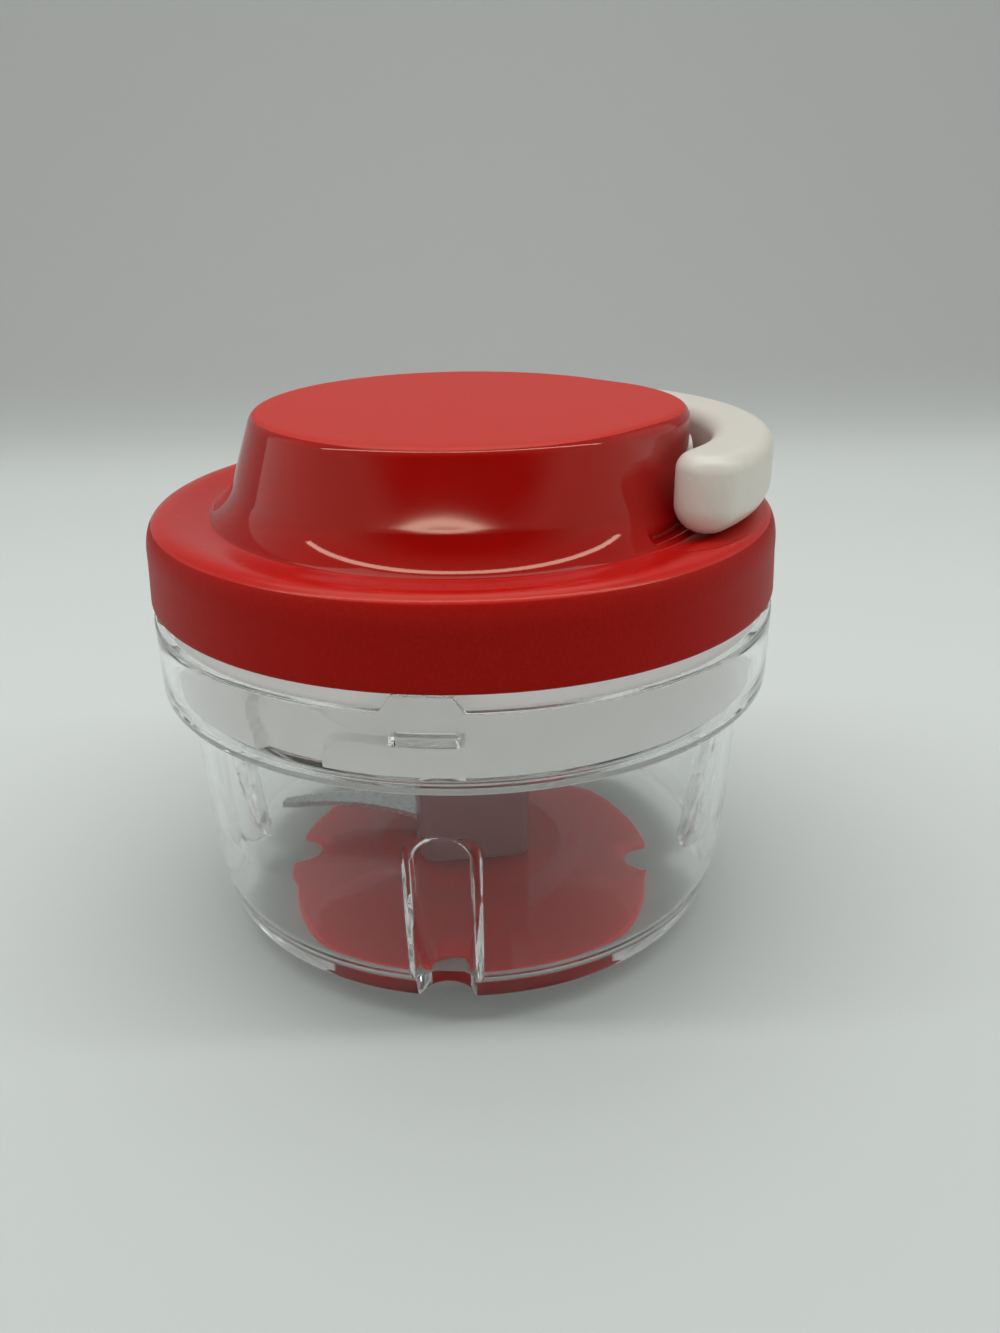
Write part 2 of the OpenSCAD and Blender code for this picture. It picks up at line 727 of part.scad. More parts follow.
module drive_coupler() {
    color([0.92, 0.92, 0.90]) {
        difference() {
            translate([0, 0, coupler_low]) cylinder(r = coupler_r, h = coupler_top - coupler_low);
            translate([0, 0, spigot_low]) cylinder(r = spigot_r + push_play, h = far);
        }
        translate([0, 0, square_low])
            rotate([0, 0, foot_turn])
                translate([-square_w / 2, -square_w / 2, 0]) cube([square_w, square_w, square_h + 0.5]);
    }
}
// Plan of the square foot with rounded corners
module foot_plan() {
    half = foot_w / 2;
    inner = half - foot_round;
    square([foot_w, 2 * inner], center = true);
    square([2 * inner, foot_w], center = true);
    for (x = [-inner, inner], y = [-inner, inner]) translate([x, y]) circle(r = foot_round);
}
// Plan of a blade along +X: a tang in the column and a curved blade that ends in a point
module blade_plan(tip) {
    half = blade_w / 2;
    root = shaft_r;
    polygon(concat(
        [[tang_in, -half * 0.6], [root, -half * 0.6]],
        bend([root + 2, -half], [tip * 0.72, -half * 1.05], [tip * 0.97, half * 0.75], 10),
        [[tip * 0.97, half]],
        bend([tip * 0.9, half * 0.9], [tip * 0.6, half * 0.2], [root + 2, half * 0.75], 8),
        [[root, half * 0.6], [tang_in, half * 0.6]]));
}
module blade(tip, az, z, t = blade_t) {
    rotate([0, 0, foot_turn + az]) translate([0, 0, z]) linear_extrude(t) blade_plan(tip);
}
lower_az = 159;
module blade_lower() { color("lightsteelblue") blade(blade_low_r, lower_az, blade_low_at); }
module blade_middle() { color("lightsteelblue") blade(blade_r, lower_az + 240, blade_low_at + blade_step); }
module blade_upper() {
    color("lightsteelblue") blade(blade_r, lower_az + 120, blade_low_at + 2 * blade_step);
}
module blade_column() {
    cone_h = 6;
    color([0.42, 0.43, 0.44])
        difference() {
            union() {
                translate([0, 0, foot_z])
                    linear_extrude(foot_h) rotate([0, 0, foot_turn]) foot_plan();
                translate([0, 0, foot_top]) cylinder(r1 = foot_w / 2, r2 = shaft_r, h = cone_h);
                translate([0, 0, foot_z]) cylinder(r = shaft_r, h = column_top - foot_z);
            }
            translate([0, 0, foot_z - 1])
                cylinder(r = pivot_r + run_play + bush_wall, h = pivot_bush_h + 1);
            rotate([0, 0, foot_turn])
                translate([-square_w / 2 - push_play, -square_w / 2 - push_play, column_top - socket_depth])
                    cube([square_w + 2 * push_play, square_w + 2 * push_play, far]);
            blade(blade_low_r, lower_az, blade_low_at);
            blade(blade_r, lower_az + 240, blade_low_at + blade_step);
            blade(blade_r, lower_az + 120, blade_low_at + 2 * blade_step);
        }
}
module pivot_bush() {
    color("burlywood")
        tube(pivot_r + run_play, pivot_r + run_play + bush_wall, foot_z, foot_z + pivot_bush_h);
}

bowl();
base_pad();
lid_cover();
lid_insert();
lid_screws();
cord_eyelet();
axle();
axle_washer();
axle_screw();
spring_arbor();
mainspring();
drive_bush();
drum();
drive_plate();
drum_screws();
cord_winding();
cord_run();
cord_lead();
cord_knot();
handle();
handle_plug();
drive_coupler();
blade_column();
blade_lower();
blade_middle();
blade_upper();
pivot_bush();
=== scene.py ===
import math

import bmesh
import bpy
from mathutils import Matrix, Vector


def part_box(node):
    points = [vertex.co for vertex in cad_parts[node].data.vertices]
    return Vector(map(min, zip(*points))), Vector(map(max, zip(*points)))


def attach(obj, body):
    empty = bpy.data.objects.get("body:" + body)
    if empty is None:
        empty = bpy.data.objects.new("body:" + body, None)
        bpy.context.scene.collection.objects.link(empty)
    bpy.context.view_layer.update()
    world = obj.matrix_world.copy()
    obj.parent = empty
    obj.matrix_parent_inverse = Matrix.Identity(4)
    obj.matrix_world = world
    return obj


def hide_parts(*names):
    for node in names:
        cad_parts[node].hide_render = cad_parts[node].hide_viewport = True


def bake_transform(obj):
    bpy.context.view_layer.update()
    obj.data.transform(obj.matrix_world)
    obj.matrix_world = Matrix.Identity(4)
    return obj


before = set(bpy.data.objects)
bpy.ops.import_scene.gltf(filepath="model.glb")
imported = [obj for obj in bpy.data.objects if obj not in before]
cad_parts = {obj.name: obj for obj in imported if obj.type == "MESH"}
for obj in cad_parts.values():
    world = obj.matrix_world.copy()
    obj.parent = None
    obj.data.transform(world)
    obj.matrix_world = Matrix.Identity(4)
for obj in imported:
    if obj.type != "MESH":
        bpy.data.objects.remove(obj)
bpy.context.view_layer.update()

# Table and light
# The chopper stands on a pale table top that sweeps up behind it, in a room with pale walls and a
# darker patch in front, under a soft lamp and a long tube, with a thin bright strip in front.
MM = 0.001
SWEEP_START = 0.45
SWEEP_RADIUS = 0.5
TABLE_REACH = 1.6


def new_mesh_object(name, bm, smooth_angle=None):
    """Turns a bmesh into an object at the origin, smooth all over or up to an angle."""
    mesh = bpy.data.meshes.new(name)
    bm.to_mesh(mesh)
    bm.free()
    obj = bpy.data.objects.new(name, mesh)
    bpy.context.scene.collection.objects.link(obj)
    for polygon in mesh.polygons:
        polygon.use_smooth = True
    if smooth_angle is not None:
        mesh.set_sharp_from_angle(angle=math.radians(smooth_angle))
    return obj


def new_material(name):
    """An empty node material: the material, its node maker, its linker and its main shader."""
    material = bpy.data.materials.new(name)
    material.use_nodes = True
    tree = material.node_tree
    shader = tree.nodes["Principled BSDF"]

    def node(kind, **values):
        made = tree.nodes.new(kind)
        for key, value in values.items():
            if key in made.inputs:
                made.inputs[key].default_value = value
            else:
                setattr(made, key, value)
        return made

    return material, node, tree.links.new, shader


table_bm = bmesh.new()
table_line = [Vector((-TABLE_REACH, -TABLE_REACH, 0)), Vector((-TABLE_REACH, SWEEP_START, 0))]
for step in range(1, 17):
    turn = math.radians(90 * step / 16)
    table_line.append(Vector((-TABLE_REACH, SWEEP_START + SWEEP_RADIUS * math.sin(turn),
                              SWEEP_RADIUS * (1 - math.cos(turn)))))
table_line.append(table_line[-1] + Vector((0, 0, 1.5)))
table_verts = [table_bm.verts.new(p) for p in table_line]
table_edges = [table_bm.edges.new(pair) for pair in zip(table_verts, table_verts[1:])]
swept = bmesh.ops.extrude_edge_only(table_bm, edges=table_edges)
bmesh.ops.translate(table_bm, vec=(2 * TABLE_REACH, 0, 0),
                    verts=[g for g in swept["geom"] if isinstance(g, bmesh.types.BMVert)])
bmesh.ops.recalc_face_normals(table_bm, faces=table_bm.faces)
table_top = new_mesh_object("table_top", table_bm)
material, node, link, shader = new_material("pale_table")
where = node("ShaderNodeTexCoord")
split = node("ShaderNodeSeparateXYZ")
link(where.outputs["Object"], split.inputs["Vector"])
rise = node("ShaderNodeMapRange", interpolation_type="SMOOTHSTEP")
rise.inputs["From Min"].default_value = 0.34
rise.inputs["From Max"].default_value = 0.60
link(split.outputs["Y"], rise.inputs["Value"])
# Painted shadow: the front of the table is mixed towards a darker grey, standing in for a shadow cast over
# it.
near = node("ShaderNodeMapRange", interpolation_type="SMOOTHSTEP")
near.inputs["From Min"].default_value = 0.08
near.inputs["From Max"].default_value = -0.20
link(split.outputs["Y"], near.inputs["Value"])
tone = node("ShaderNodeValToRGB")
tone.color_ramp.elements[0].color = (0.64, 0.67, 0.65, 1)
tone.color_ramp.elements[1].color = (0.45, 0.46, 0.45, 1)
link(rise.outputs["Result"], tone.inputs["Fac"])
painted_front_shadow = node("ShaderNodeMix", data_type="RGBA")
painted_front_shadow.inputs["B"].default_value = (0.52, 0.55, 0.53, 1)
link(near.outputs["Result"], painted_front_shadow.inputs["Factor"])
link(tone.outputs["Color"], painted_front_shadow.inputs["A"])
link(painted_front_shadow.outputs["Result"], shader.inputs["Base Color"])
shader.inputs["Roughness"].default_value = 0.55
shader.inputs["Specular IOR Level"].default_value = 0.25
table_top.data.materials.append(material)

world = bpy.data.worlds.new("room")
world.use_nodes = True
room_nodes = world.node_tree.nodes
room_way = room_nodes.new("ShaderNodeTexCoord")
room_front = room_nodes.new("ShaderNodeVectorMath")
room_front.operation = "DOT_PRODUCT"
room_front.inputs[1].default_value = (0, -0.96, 0.28)
room_patch = room_nodes.new("ShaderNodeMapRange")
room_patch.interpolation_type = "SMOOTHSTEP"
room_patch.inputs["From Min"].default_value = 0.50
room_patch.inputs["From Max"].default_value = 0.90
room_patch.inputs["To Min"].default_value = 1.0
room_patch.inputs["To Max"].default_value = 0.08
room_height = room_nodes.new("ShaderNodeSeparateXYZ")
room_walls = room_nodes.new("ShaderNodeMapRange")
room_walls.inputs["From Max"].default_value = 0.8
room_walls.inputs["To Min"].default_value = 1.15
room_walls.inputs["To Max"].default_value = 0.42
room_above = room_nodes.new("ShaderNodeMapRange")
room_above.inputs["From Min"].default_value = 0.33
room_above.inputs["From Max"].default_value = 0.37
room_front_level = room_nodes.new("ShaderNodeMix")
room_front_level.inputs["A"].default_value = 0.85
room_level = room_nodes.new("ShaderNodeMath")
room_level.operation = "MULTIPLY"
room_links = world.node_tree.links
room_links.new(room_way.outputs["Generated"], room_front.inputs[0])
room_links.new(room_front.outputs["Value"], room_patch.inputs["Value"])
room_links.new(room_way.outputs["Generated"], room_height.inputs["Vector"])
room_links.new(room_height.outputs["Z"], room_walls.inputs["Value"])
room_links.new(room_height.outputs["Z"], room_above.inputs["Value"])
room_links.new(room_above.outputs["Result"], room_front_level.inputs["Factor"])
room_links.new(room_patch.outputs["Result"], room_front_level.inputs["B"])
room_links.new(room_front_level.outputs["Result"], room_level.inputs[0])
room_links.new(room_walls.outputs["Result"], room_level.inputs[1])
room_links.new(room_level.outputs["Value"], room_nodes["Background"].inputs["Strength"])
room_nodes["Background"].inputs["Color"].default_value = (0.97, 1.0, 0.98, 1)
bpy.context.scene.world = world
bpy.context.scene.view_settings.view_transform = "Standard"
bpy.context.scene.cycles.max_bounces = 28
bpy.context.scene.cycles.transmission_bounces = 28
bpy.context.scene.cycles.glossy_bounces = 28


def soft_lamp(name, place, aim, size, power):
    """A rectangular lamp at a place, turned to face a point."""
    lamp = bpy.data.lights.new(name, "AREA")
    lamp.shape = "RECTANGLE"
    lamp.size, lamp.size_y = size
    lamp.energy = power
    obj = bpy.data.objects.new(name, lamp)
    obj.location = place
    obj.rotation_mode = "QUATERNION"
    obj.rotation_quaternion = (Vector(aim) - Vector(place)).to_track_quat("-Z", "Y")
    bpy.context.scene.collection.objects.link(obj)
    return obj


lid_middle = (0, 0, 0.07)
soft_lamp("overhead_lamp", (-0.05, 0.25, 0.80), lid_middle, (0.80, 0.45), 1.6)
soft_lamp("tube_lamp", (0.0, -0.12, 0.85), lid_middle, (2.40, 0.08), 6.4)
soft_lamp("window_strip", (-0.08, -0.95, 0.450), lid_middle, (2.20, 0.010), 1.3)

# Camera
# A phone held a forearm's length in front of the bowl, a little above the lid and looking down.
PHOTO_SIZE = (1000, 1333)
FOCAL_PIXELS = 1070.0
EYE = Vector((0, -201.8, 137.7)) * MM
LOOK_RIGHT = math.radians(1.94)
LOOK_DOWN = math.radians(24.09)
TILT = math.radians(-0.64)
camera_data = bpy.data.cameras.new("camera")
camera_data.sensor_width = 36
camera_data.lens = camera_data.sensor_width * FOCAL_PIXELS / max(PHOTO_SIZE)
camera_data.clip_start = 0.005
camera = bpy.data.objects.new("camera", camera_data)
forward = Vector((math.sin(LOOK_RIGHT) * math.cos(LOOK_DOWN),
                  math.cos(LOOK_RIGHT) * math.cos(LOOK_DOWN), -math.sin(LOOK_DOWN)))
level = Vector((math.cos(LOOK_RIGHT), -math.sin(LOOK_RIGHT), 0))
upright = level.cross(forward)
right = level * math.cos(TILT) + upright * math.sin(TILT)
up = upright * math.cos(TILT) - level * math.sin(TILT)
camera.matrix_world = Matrix.Translation(EYE) @ Matrix((right, up, -forward)).transposed().to_4x4()
bpy.context.scene.collection.objects.link(camera)
bpy.context.scene.camera = camera

# Non-slip pad
# A low red rubber cone with a thin round rim, notched below the bowl's flutes. It is moulded soft and
# matte, sits under the middle of the bowl and lifts the bowl's edge off the table.
FLUTES = 4
FLUTE_TURN = math.radians(-95.4)
FLUTE_HALF = 5.2
FLUTE_DEPTH = 4.8
BASE_R = 51.6
PAD_R = BASE_R - 12.1
PAD_AIR = -0.03
PAD_RIM = 1.4
PAD_SLOPE = 20.0
PAD_NOTCH = 5.5
NOTCH_FROM = 26.0
NOTCH_ROUND = 0.9
pad_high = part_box("base_pad")[1]
pad_top = pad_high.z / MM - PAD_AIR
flute_nose = BASE_R - FLUTE_DEPTH + FLUTE_HALF


def arc(cx, cz, r, a0, a1, n):
    """Points of an arc in a section, from angle a0 to a1 in degrees."""
    turns = [math.radians(a0 + (a1 - a0) * i / n) for i in range(n + 1)]
    return [(cx + r * math.cos(a), cz + r * math.sin(a)) for a in turns]


def bend(a, c, b, n):
    """Points of a curve from a to b, pulled towards c."""
    shares = [i / n for i in range(n + 1)]
    return [tuple((1 - t) ** 2 * p + 2 * t * (1 - t) * q + t * t * r for p, q, r in zip(a, c, b))
            for t in shares]


def line(a, b, n):
    """Points of a straight stretch, without its first point."""
    return [(a[0] + (b[0] - a[0]) * i / n, a[1] + (b[1] - a[1]) * i / n) for i in range(1, n + 1)]


def ease(t):
    """A smooth step from 0 to 1."""
    t = min(max(t, 0.0), 1.0)
    return t * t * (3 - 2 * t)


def fine_turns(middles, half, fine, coarse):
    """Angles once round the axis, close together near the middles, in degrees."""
    turns = []
    turn = 0.0
    while turn < 360 - fine / 2:
        turns.append(turn)
        near = min(abs((turn - m + 180) % 360 - 180) for m in middles)
        turn += fine if near < half else coarse
    return turns


def turned(section, turns, closed=False):
    """Wraps a grid round the axis along a section of (radius, height) points in mm, at given angles."""
    outline = section + section[:1] if closed else section
    around = turns + turns[:1]
    rows = len(outline) - 1
    bm = bmesh.new()
    row = bm.verts.layers.int.new("row")
    bmesh.ops.create_grid(bm, x_segments=len(turns), y_segments=rows, size=0.5)
    for vert in bm.verts:
        angle = math.radians(around[round((vert.co.x + 0.5) * len(turns))])
        vert[row] = round((vert.co.y + 0.5) * rows) % len(section)
        r, z = section[vert[row]]
        vert.co = (r * math.cos(angle) * MM, r * math.sin(angle) * MM, z * MM)
    return bm


def tidy(bm):
    """Merges the doubles at poles and seams and turns all faces outwards."""
    bmesh.ops.remove_doubles(bm, verts=bm.verts, dist=1e-7)
    bmesh.ops.dissolve_degenerate(bm, edges=bm.edges, dist=1e-8)
    bmesh.ops.recalc_face_normals(bm, faces=bm.faces)
    return bm


def beside_flute(vert):
    """A point in the nearest flute's directions: out along it and across it in mm, and its turn."""
    angle = math.atan2(vert.co.y, vert.co.x)
    pitch = 2 * math.pi / FLUTES
    middle = FLUTE_TURN + round((angle - FLUTE_TURN) / pitch) * pitch
    r = math.hypot(vert.co.x, vert.co.y) / MM
    return r * math.cos(angle - middle), r * math.sin(angle - middle), middle


def place(vert, out, across, middle):
    """Puts a point back from a flute's directions."""
    vert.co.x = (out * math.cos(middle) - across * math.sin(middle)) * MM
    vert.co.y = (out * math.sin(middle) + across * math.cos(middle)) * MM


def notch_out(across, grow):
    """How far out the round end of a flute's plan lies at a distance across."""
    half = FLUTE_HALF + grow
    return flute_nose - math.sqrt(max(half * half - across * across, 0))


flute_turns = [math.degrees(FLUTE_TURN) + 360 * i / FLUTES for i in range(FLUTES)]


def pad_height(r):
    """Height of the pad's top: level in the middle, then falling to the rim."""
    return pad_top - (pad_top - PAD_RIM) * min(max((r - PAD_R) / PAD_SLOPE + 1, 0), 1)


pad_section = [(0, 0), (12, 0), (22, 0), (28, 0), (32, 0), (35, 0), (37.5, 0)]
pad_section += arc(PAD_R - 0.5, 0.5, 0.5, -90, 0, 4)
pad_section += arc(PAD_R - 0.4, PAD_RIM - 0.4, 0.4, 0, 70, 3)
pad_top_from = len(pad_section)
pad_section += [(r, pad_height(r)) for r in (37.5, 35, 32, 28, 24, PAD_R - PAD_SLOPE, 10, 0)]
pad_bm = turned(pad_section, fine_turns(flute_turns, 9.5, 0.4, 2.0))
row = pad_bm.verts.layers.int["row"]
for vert in pad_bm.verts:
    out, across, middle = beside_flute(vert)
    if abs(across) < PAD_NOTCH and out > NOTCH_FROM:
        limit = PAD_R - math.sqrt(PAD_NOTCH ** 2 - across * across)
        edge_out = math.sqrt(PAD_R ** 2 - across * across)
        inward = (edge_out - limit) * ease((PAD_NOTCH - abs(across)) / NOTCH_ROUND)
        out -= inward * ease((out - NOTCH_FROM) / (edge_out - NOTCH_FROM))
        place(vert, out, across, middle)
        if vert[row] >= pad_top_from:
            vert.co.z = pad_height(math.hypot(out, across)) * MM
base_pad = new_mesh_object("base_pad_rubber", tidy(pad_bm), 40)


def mottled(name, texture, dark, light, roughness=0.5, metallic=0.0, output="Fac", spread=(0.0, 1.0),
            **texture_values):
    """A material whose colour runs between two tones along a texture, with its parts and the texture."""
    material, node, link, shader = new_material(name)
    shader.inputs["Roughness"].default_value = roughness
    shader.inputs["Metallic"].default_value = metallic
    where = node("ShaderNodeTexCoord")
    grain = node(texture, **texture_values)
    link(where.outputs["Object"], grain.inputs["Vector"])
    tone = node("ShaderNodeValToRGB")
    for element, position, colour in zip(tone.color_ramp.elements, spread, (dark, light)):
        element.position = position
        element.color = colour
    link(grain.outputs[output], tone.inputs["Fac"])
    link(tone.outputs["Color"], shader.inputs["Base Color"])
    return material, node, link, shader, grain


def grained(node, link, shader, height, strength, distance):
    """Gives a shader fine relief from a texture's output."""
    relief = node("ShaderNodeBump", Strength=strength, Distance=distance)
    link(height, relief.inputs["Height"])
    link(relief.outputs["Normal"], shader.inputs["Normal"])


# The red is the rubber's own hue, set much brighter than the rubber is: painted light standing in for the
# light that reaches the pad through the clear bowl.
material, node, link, shader, grain = mottled(
    "red_rubber", "ShaderNodeTexNoise", (0.84, 0.016, 0.016, 1), (0.93, 0.024, 0.022, 1), roughness=0.62,
    Scale=900.0, Detail=4.0)
shader.inputs["Specular IOR Level"].default_value = 0.12
grained(node, link, shader, grain.outputs["Fac"], 0.25, 0.0002)
base_pad.data.materials.append(material)
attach(base_pad, "base")
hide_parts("base_pad")

# Bowl
# A clear bowl moulded in one shot: a thick round-cornered floor with a centre pin, a wall with hollow
# flutes, a stepped collar, and at the collar three inner lugs and three rim tabs that take the lid.
bowl_low, bowl_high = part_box("bowl")
BOWL_Z = bowl_low.z / MM
FLOOR_Z = BOWL_Z + 2.0
LEDGE_Z = BOWL_Z + 46.5
RIM_Z = LEDGE_Z + 14.0
BOWL_R = 55.0
COLLAR_R = 59.5
COLLAR_IN = COLLAR_R - 2.0
BODY_IN = BOWL_R - 2.2
FLOOR_IN = BODY_IN - 1.7
FLOOR_ROUND = 5.0
EDGE_ROUND = 1.2
EDGE_ROWS = 6
WALL_DRAFT = 0.8
BELLY_Z = BOWL_Z + 20.0
LEDGE_T = 1.2
STEP_ROUND = 0.8
STEP_ROWS = 6
COLLAR_ROUND = 0.6
RIM_ROUND = 0.5
CORNER_ROUND = 0.4
PIN_ROUND = 0.6
LEDGE_TOP = LEDGE_Z + LEDGE_T
PIN_R = 3.0
PIN_TOP = FLOOR_Z + 9.0
FLUTE_WALL = 1.4
FLUTE_TOP = BOWL_Z + 35.7
FLUTE_TOP_DEPTH = 1.2
LUG_TURN = -96.8
LUG_HALF = 5.4
TAB_HALF = 6.4
LUG_TOP = RIM_Z - 4.6
LUG_LOW = LUG_TOP - 1.6
LUG_REACH = 2.3
TAB_TOP = bowl_high.z / MM
lug_turns = [LUG_TURN + 120 * i for i in range(3)]
bowl_turns = fine_turns(flute_turns + lug_turns, 9.0, 0.30, 1.6)
underside = [(r, BOWL_Z) for r in (0, 10, 20, 28, 34, 39, 43, 46.5)]
underside += arc(BASE_R - EDGE_ROUND, BOWL_Z + EDGE_ROUND, EDGE_ROUND, -90, 0, EDGE_ROWS - 1)
outside = bend((BASE_R, BOWL_Z + EDGE_ROUND), (BOWL_R - 2 * WALL_DRAFT, BOWL_Z + 6),
               (BOWL_R - WALL_DRAFT, BELLY_Z), 16)[1:]
outside += line(outside[-1], (BOWL_R - 0.2, FLUTE_TOP + 3), 30)
outside += line(outside[-1], (BOWL_R, LEDGE_Z - STEP_ROUND), 2)
outside += bend((BOWL_R, LEDGE_Z - STEP_ROUND), (BOWL_R, LEDGE_Z), (BOWL_R + STEP_ROUND, LEDGE_Z),
                STEP_ROWS - 1)[1:]
collar = arc(COLLAR_R - COLLAR_ROUND, LEDGE_Z + COLLAR_ROUND, COLLAR_ROUND, -90, 0, 5)
collar += line(collar[-1], (COLLAR_R, RIM_Z - RIM_ROUND), 4)
rim = arc(COLLAR_R - RIM_ROUND, RIM_Z - RIM_ROUND, RIM_ROUND, 0, 90, 4)[1:]
rim += arc(COLLAR_IN + RIM_ROUND, RIM_Z - RIM_ROUND, RIM_ROUND, 90, 180, 4)
inside = line(rim[-1], (COLLAR_IN, LUG_TOP + 0.25), 2)
inside += [(COLLAR_IN, LUG_TOP + above) for above in (0.1, -0.2, -0.6)]
inside += [(COLLAR_IN, LUG_LOW + above) for above in (0.6, 0.2, -0.1, -0.25)]
inside += line(inside[-1], (COLLAR_IN, LEDGE_TOP + CORNER_ROUND), 2)
inside += bend((COLLAR_IN, LEDGE_TOP + CORNER_ROUND), (COLLAR_IN, LEDGE_TOP),
               (COLLAR_IN - CORNER_ROUND, LEDGE_TOP), 3)[1:]
inside += arc(BODY_IN + RIM_ROUND, LEDGE_TOP - RIM_ROUND, RIM_ROUND, 90, 180, 4)
inside += line(inside[-1], (BODY_IN - 0.2, FLUTE_TOP + 4), 2)
inside += line(inside[-1], (BODY_IN - WALL_DRAFT, BELLY_Z), 22)
inside += bend(inside[-1], (BODY_IN - 2 * WALL_DRAFT, BOWL_Z + 11), (FLOOR_IN, FLOOR_Z + FLOOR_ROUND), 12)[1:]
inside += arc(FLOOR_IN - FLOOR_ROUND, FLOOR_Z + FLOOR_ROUND, FLOOR_ROUND, 0, -90, 10)[1:]
inside += line(inside[-1], (PIN_R + PIN_ROUND, FLOOR_Z), 14)
inside += bend((PIN_R + PIN_ROUND, FLOOR_Z), (PIN_R, FLOOR_Z), (PIN_R, FLOOR_Z + PIN_ROUND), 3)[1:]
inside += arc(PIN_R - PIN_ROUND, PIN_TOP - PIN_ROUND, PIN_ROUND, 0, 90, 4)
inside += [(0, PIN_TOP)]
bowl_section = underside + outside + collar + rim + inside
inner_row = len(underside) + len(outside) + len(collar) + len(rim)
rim_rows = range(len(bowl_section) - len(inside) - len(rim) - 1, inner_row)
bowl_bm = turned(bowl_section, bowl_turns)
row = bowl_bm.verts.layers.int["row"]
back_low = BASE_R - FLUTE_DEPTH
back_slope = (BOWL_R - FLUTE_TOP_DEPTH - back_low) / (FLUTE_TOP - BOWL_Z)
arch_middle = FLUTE_TOP - FLUTE_HALF
wall_to = len(underside) + len(outside) - STEP_ROWS
FLUTE_ROUND = 0.7
PULL_FROM = 24.0
WALL_FROM = 30.0
TAB_RAMP = 1.9
LUG_RAMP = 0.5


def flute_back(across, z, grow):
    """How far out the hollow of a flute ends, at a distance across and a height."""
    return max(notch_out(across, grow), back_low - grow + back_slope * (z - BOWL_Z))


def inside_arch(across, z, grow):
    """Distance inside a flute's arched outline, negative outside it."""
    half = FLUTE_HALF + grow
    if z < arch_middle:
        return half - abs(across)
    return half - math.hypot(across, z - arch_middle)


for vert in bowl_bm.verts:
    at = vert[row]
    z = vert.co.z / MM
    out, across, middle = beside_flute(vert)
    if at < len(underside) - EDGE_ROWS:
        edge_out = math.sqrt(max((BASE_R - EDGE_ROUND) ** 2 - across * across, 0))
        deep = max(edge_out - flute_back(across, BOWL_Z, 0), 0)
        deep *= ease(inside_arch(across, BOWL_Z, 0) / FLUTE_ROUND)
        place(vert, out - deep * ease((out - PULL_FROM) / (edge_out - PULL_FROM)), across, middle)
    elif at < wall_to or (at > inner_row and z < FLUTE_TOP + 3 and out > WALL_FROM):
        grow = FLUTE_WALL if at > inner_row else 0.0
        deep = max(out - flute_back(across, z, grow), 0)
        place(vert, out - deep * ease((inside_arch(across, z, grow) + 0.2) / FLUTE_ROUND), across, middle)
    angle = math.degrees(math.atan2(vert.co.y, vert.co.x))
    off = min(abs((angle - turn + 180) % 360 - 180) for turn in lug_turns)
    along = math.radians(LUG_HALF - off) * COLLAR_R
    if at in rim_rows:
        up_tab = math.radians(TAB_HALF - off) * COLLAR_R / TAB_RAMP
        vert.co.z += (TAB_TOP - RIM_Z) * min(max(up_tab, 0), 1) * MM
    if at >= inner_row and LUG_LOW - 0.05 < z < LUG_TOP + 0.05 and math.hypot(out, across) > COLLAR_IN - 0.1:
        inward = LUG_REACH * ease(along / LUG_RAMP)
        shrink = (COLLAR_IN - inward) / COLLAR_IN
        vert.co.x, vert.co.y = vert.co.x * shrink, vert.co.y * shrink
bowl = new_mesh_object("bowl_clear", tidy(bowl_bm), 55)
material, node, link, shader = new_material("clear_plastic")
shader.inputs["Base Color"].default_value = (0.985, 0.99, 0.99, 1)
shader.inputs["Transmission Weight"].default_value = 1.0
shader.inputs["IOR"].default_value = 1.40
where = node("ShaderNodeTexCoord")
smears = node("ShaderNodeTexNoise", Scale=60.0, Detail=3.0)
link(where.outputs["Object"], smears.inputs["Vector"])
haze = node("ShaderNodeMapRange")
haze.inputs["To Min"].default_value = 0.01
haze.inputs["To Max"].default_value = 0.06
link(smears.outputs["Fac"], haze.inputs["Value"])
link(haze.outputs["Result"], shader.inputs["Roughness"])
bowl.data.materials.append(material)
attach(bowl, "base")
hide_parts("bowl")

# Blade column
# A dark red plastic moulding, with a grey cast in its colour that is a painted reflection of the pale room.
# It has a square foot that turns on the bowl's pin and a round shaft with a square socket on top for the
# drive.
column_low, column_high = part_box("blade_column")
FOOT_HALF = 11.5
FOOT_TOP = column_low.z / MM + 19.0
FOOT_TURN = math.radians(6)
SHAFT_R = 8.6
COLUMN_LOW = column_low.z / MM
COLUMN_TOP = column_high.z / MM
BORE_R = 5.05
SOCKET_HALF = 4.6
HOLE_DEEP = 8.2
FOOT_CORNER = 9
SOCKET_CORNER = 16
FOOT_FADE = 4
column_section = [(BORE_R, COLUMN_LOW + HOLE_DEEP), (BORE_R, COLUMN_LOW + 0.3), (BORE_R + 0.3, COLUMN_LOW)]
foot_from = len(column_section)
column_section += arc(FOOT_HALF - 0.6, COLUMN_LOW + 0.6, 0.6, -90, 0, 4)
column_section += line(column_section[-1], (FOOT_HALF, FOOT_TOP - 1.2), 6)
column_section += arc(FOOT_HALF - 1.2, FOOT_TOP - 1.2, 1.2, 0, 60, 4)
foot_to = len(column_section)
column_section += bend((FOOT_HALF - 1.4, FOOT_TOP + 0.4), (SHAFT_R, FOOT_TOP + 2.5),
                       (SHAFT_R, FOOT_TOP + 7), 8)
column_section += line(column_section[-1], (SHAFT_R, COLUMN_TOP - 0.5), 6)
column_section += arc(SHAFT_R - 0.5, COLUMN_TOP - 0.5, 0.5, 0, 90, 4)
socket_from = len(column_section)
column_section += [(SOCKET_HALF + 0.4, COLUMN_TOP), (SOCKET_HALF, COLUMN_TOP - 0.4),
                   (SOCKET_HALF, COLUMN_TOP - HOLE_DEEP), (0, COLUMN_TOP - HOLE_DEEP)]
column_bm = turned(column_section, [i * 1.5 for i in range(240)])
row = column_bm.verts.layers.int["row"]


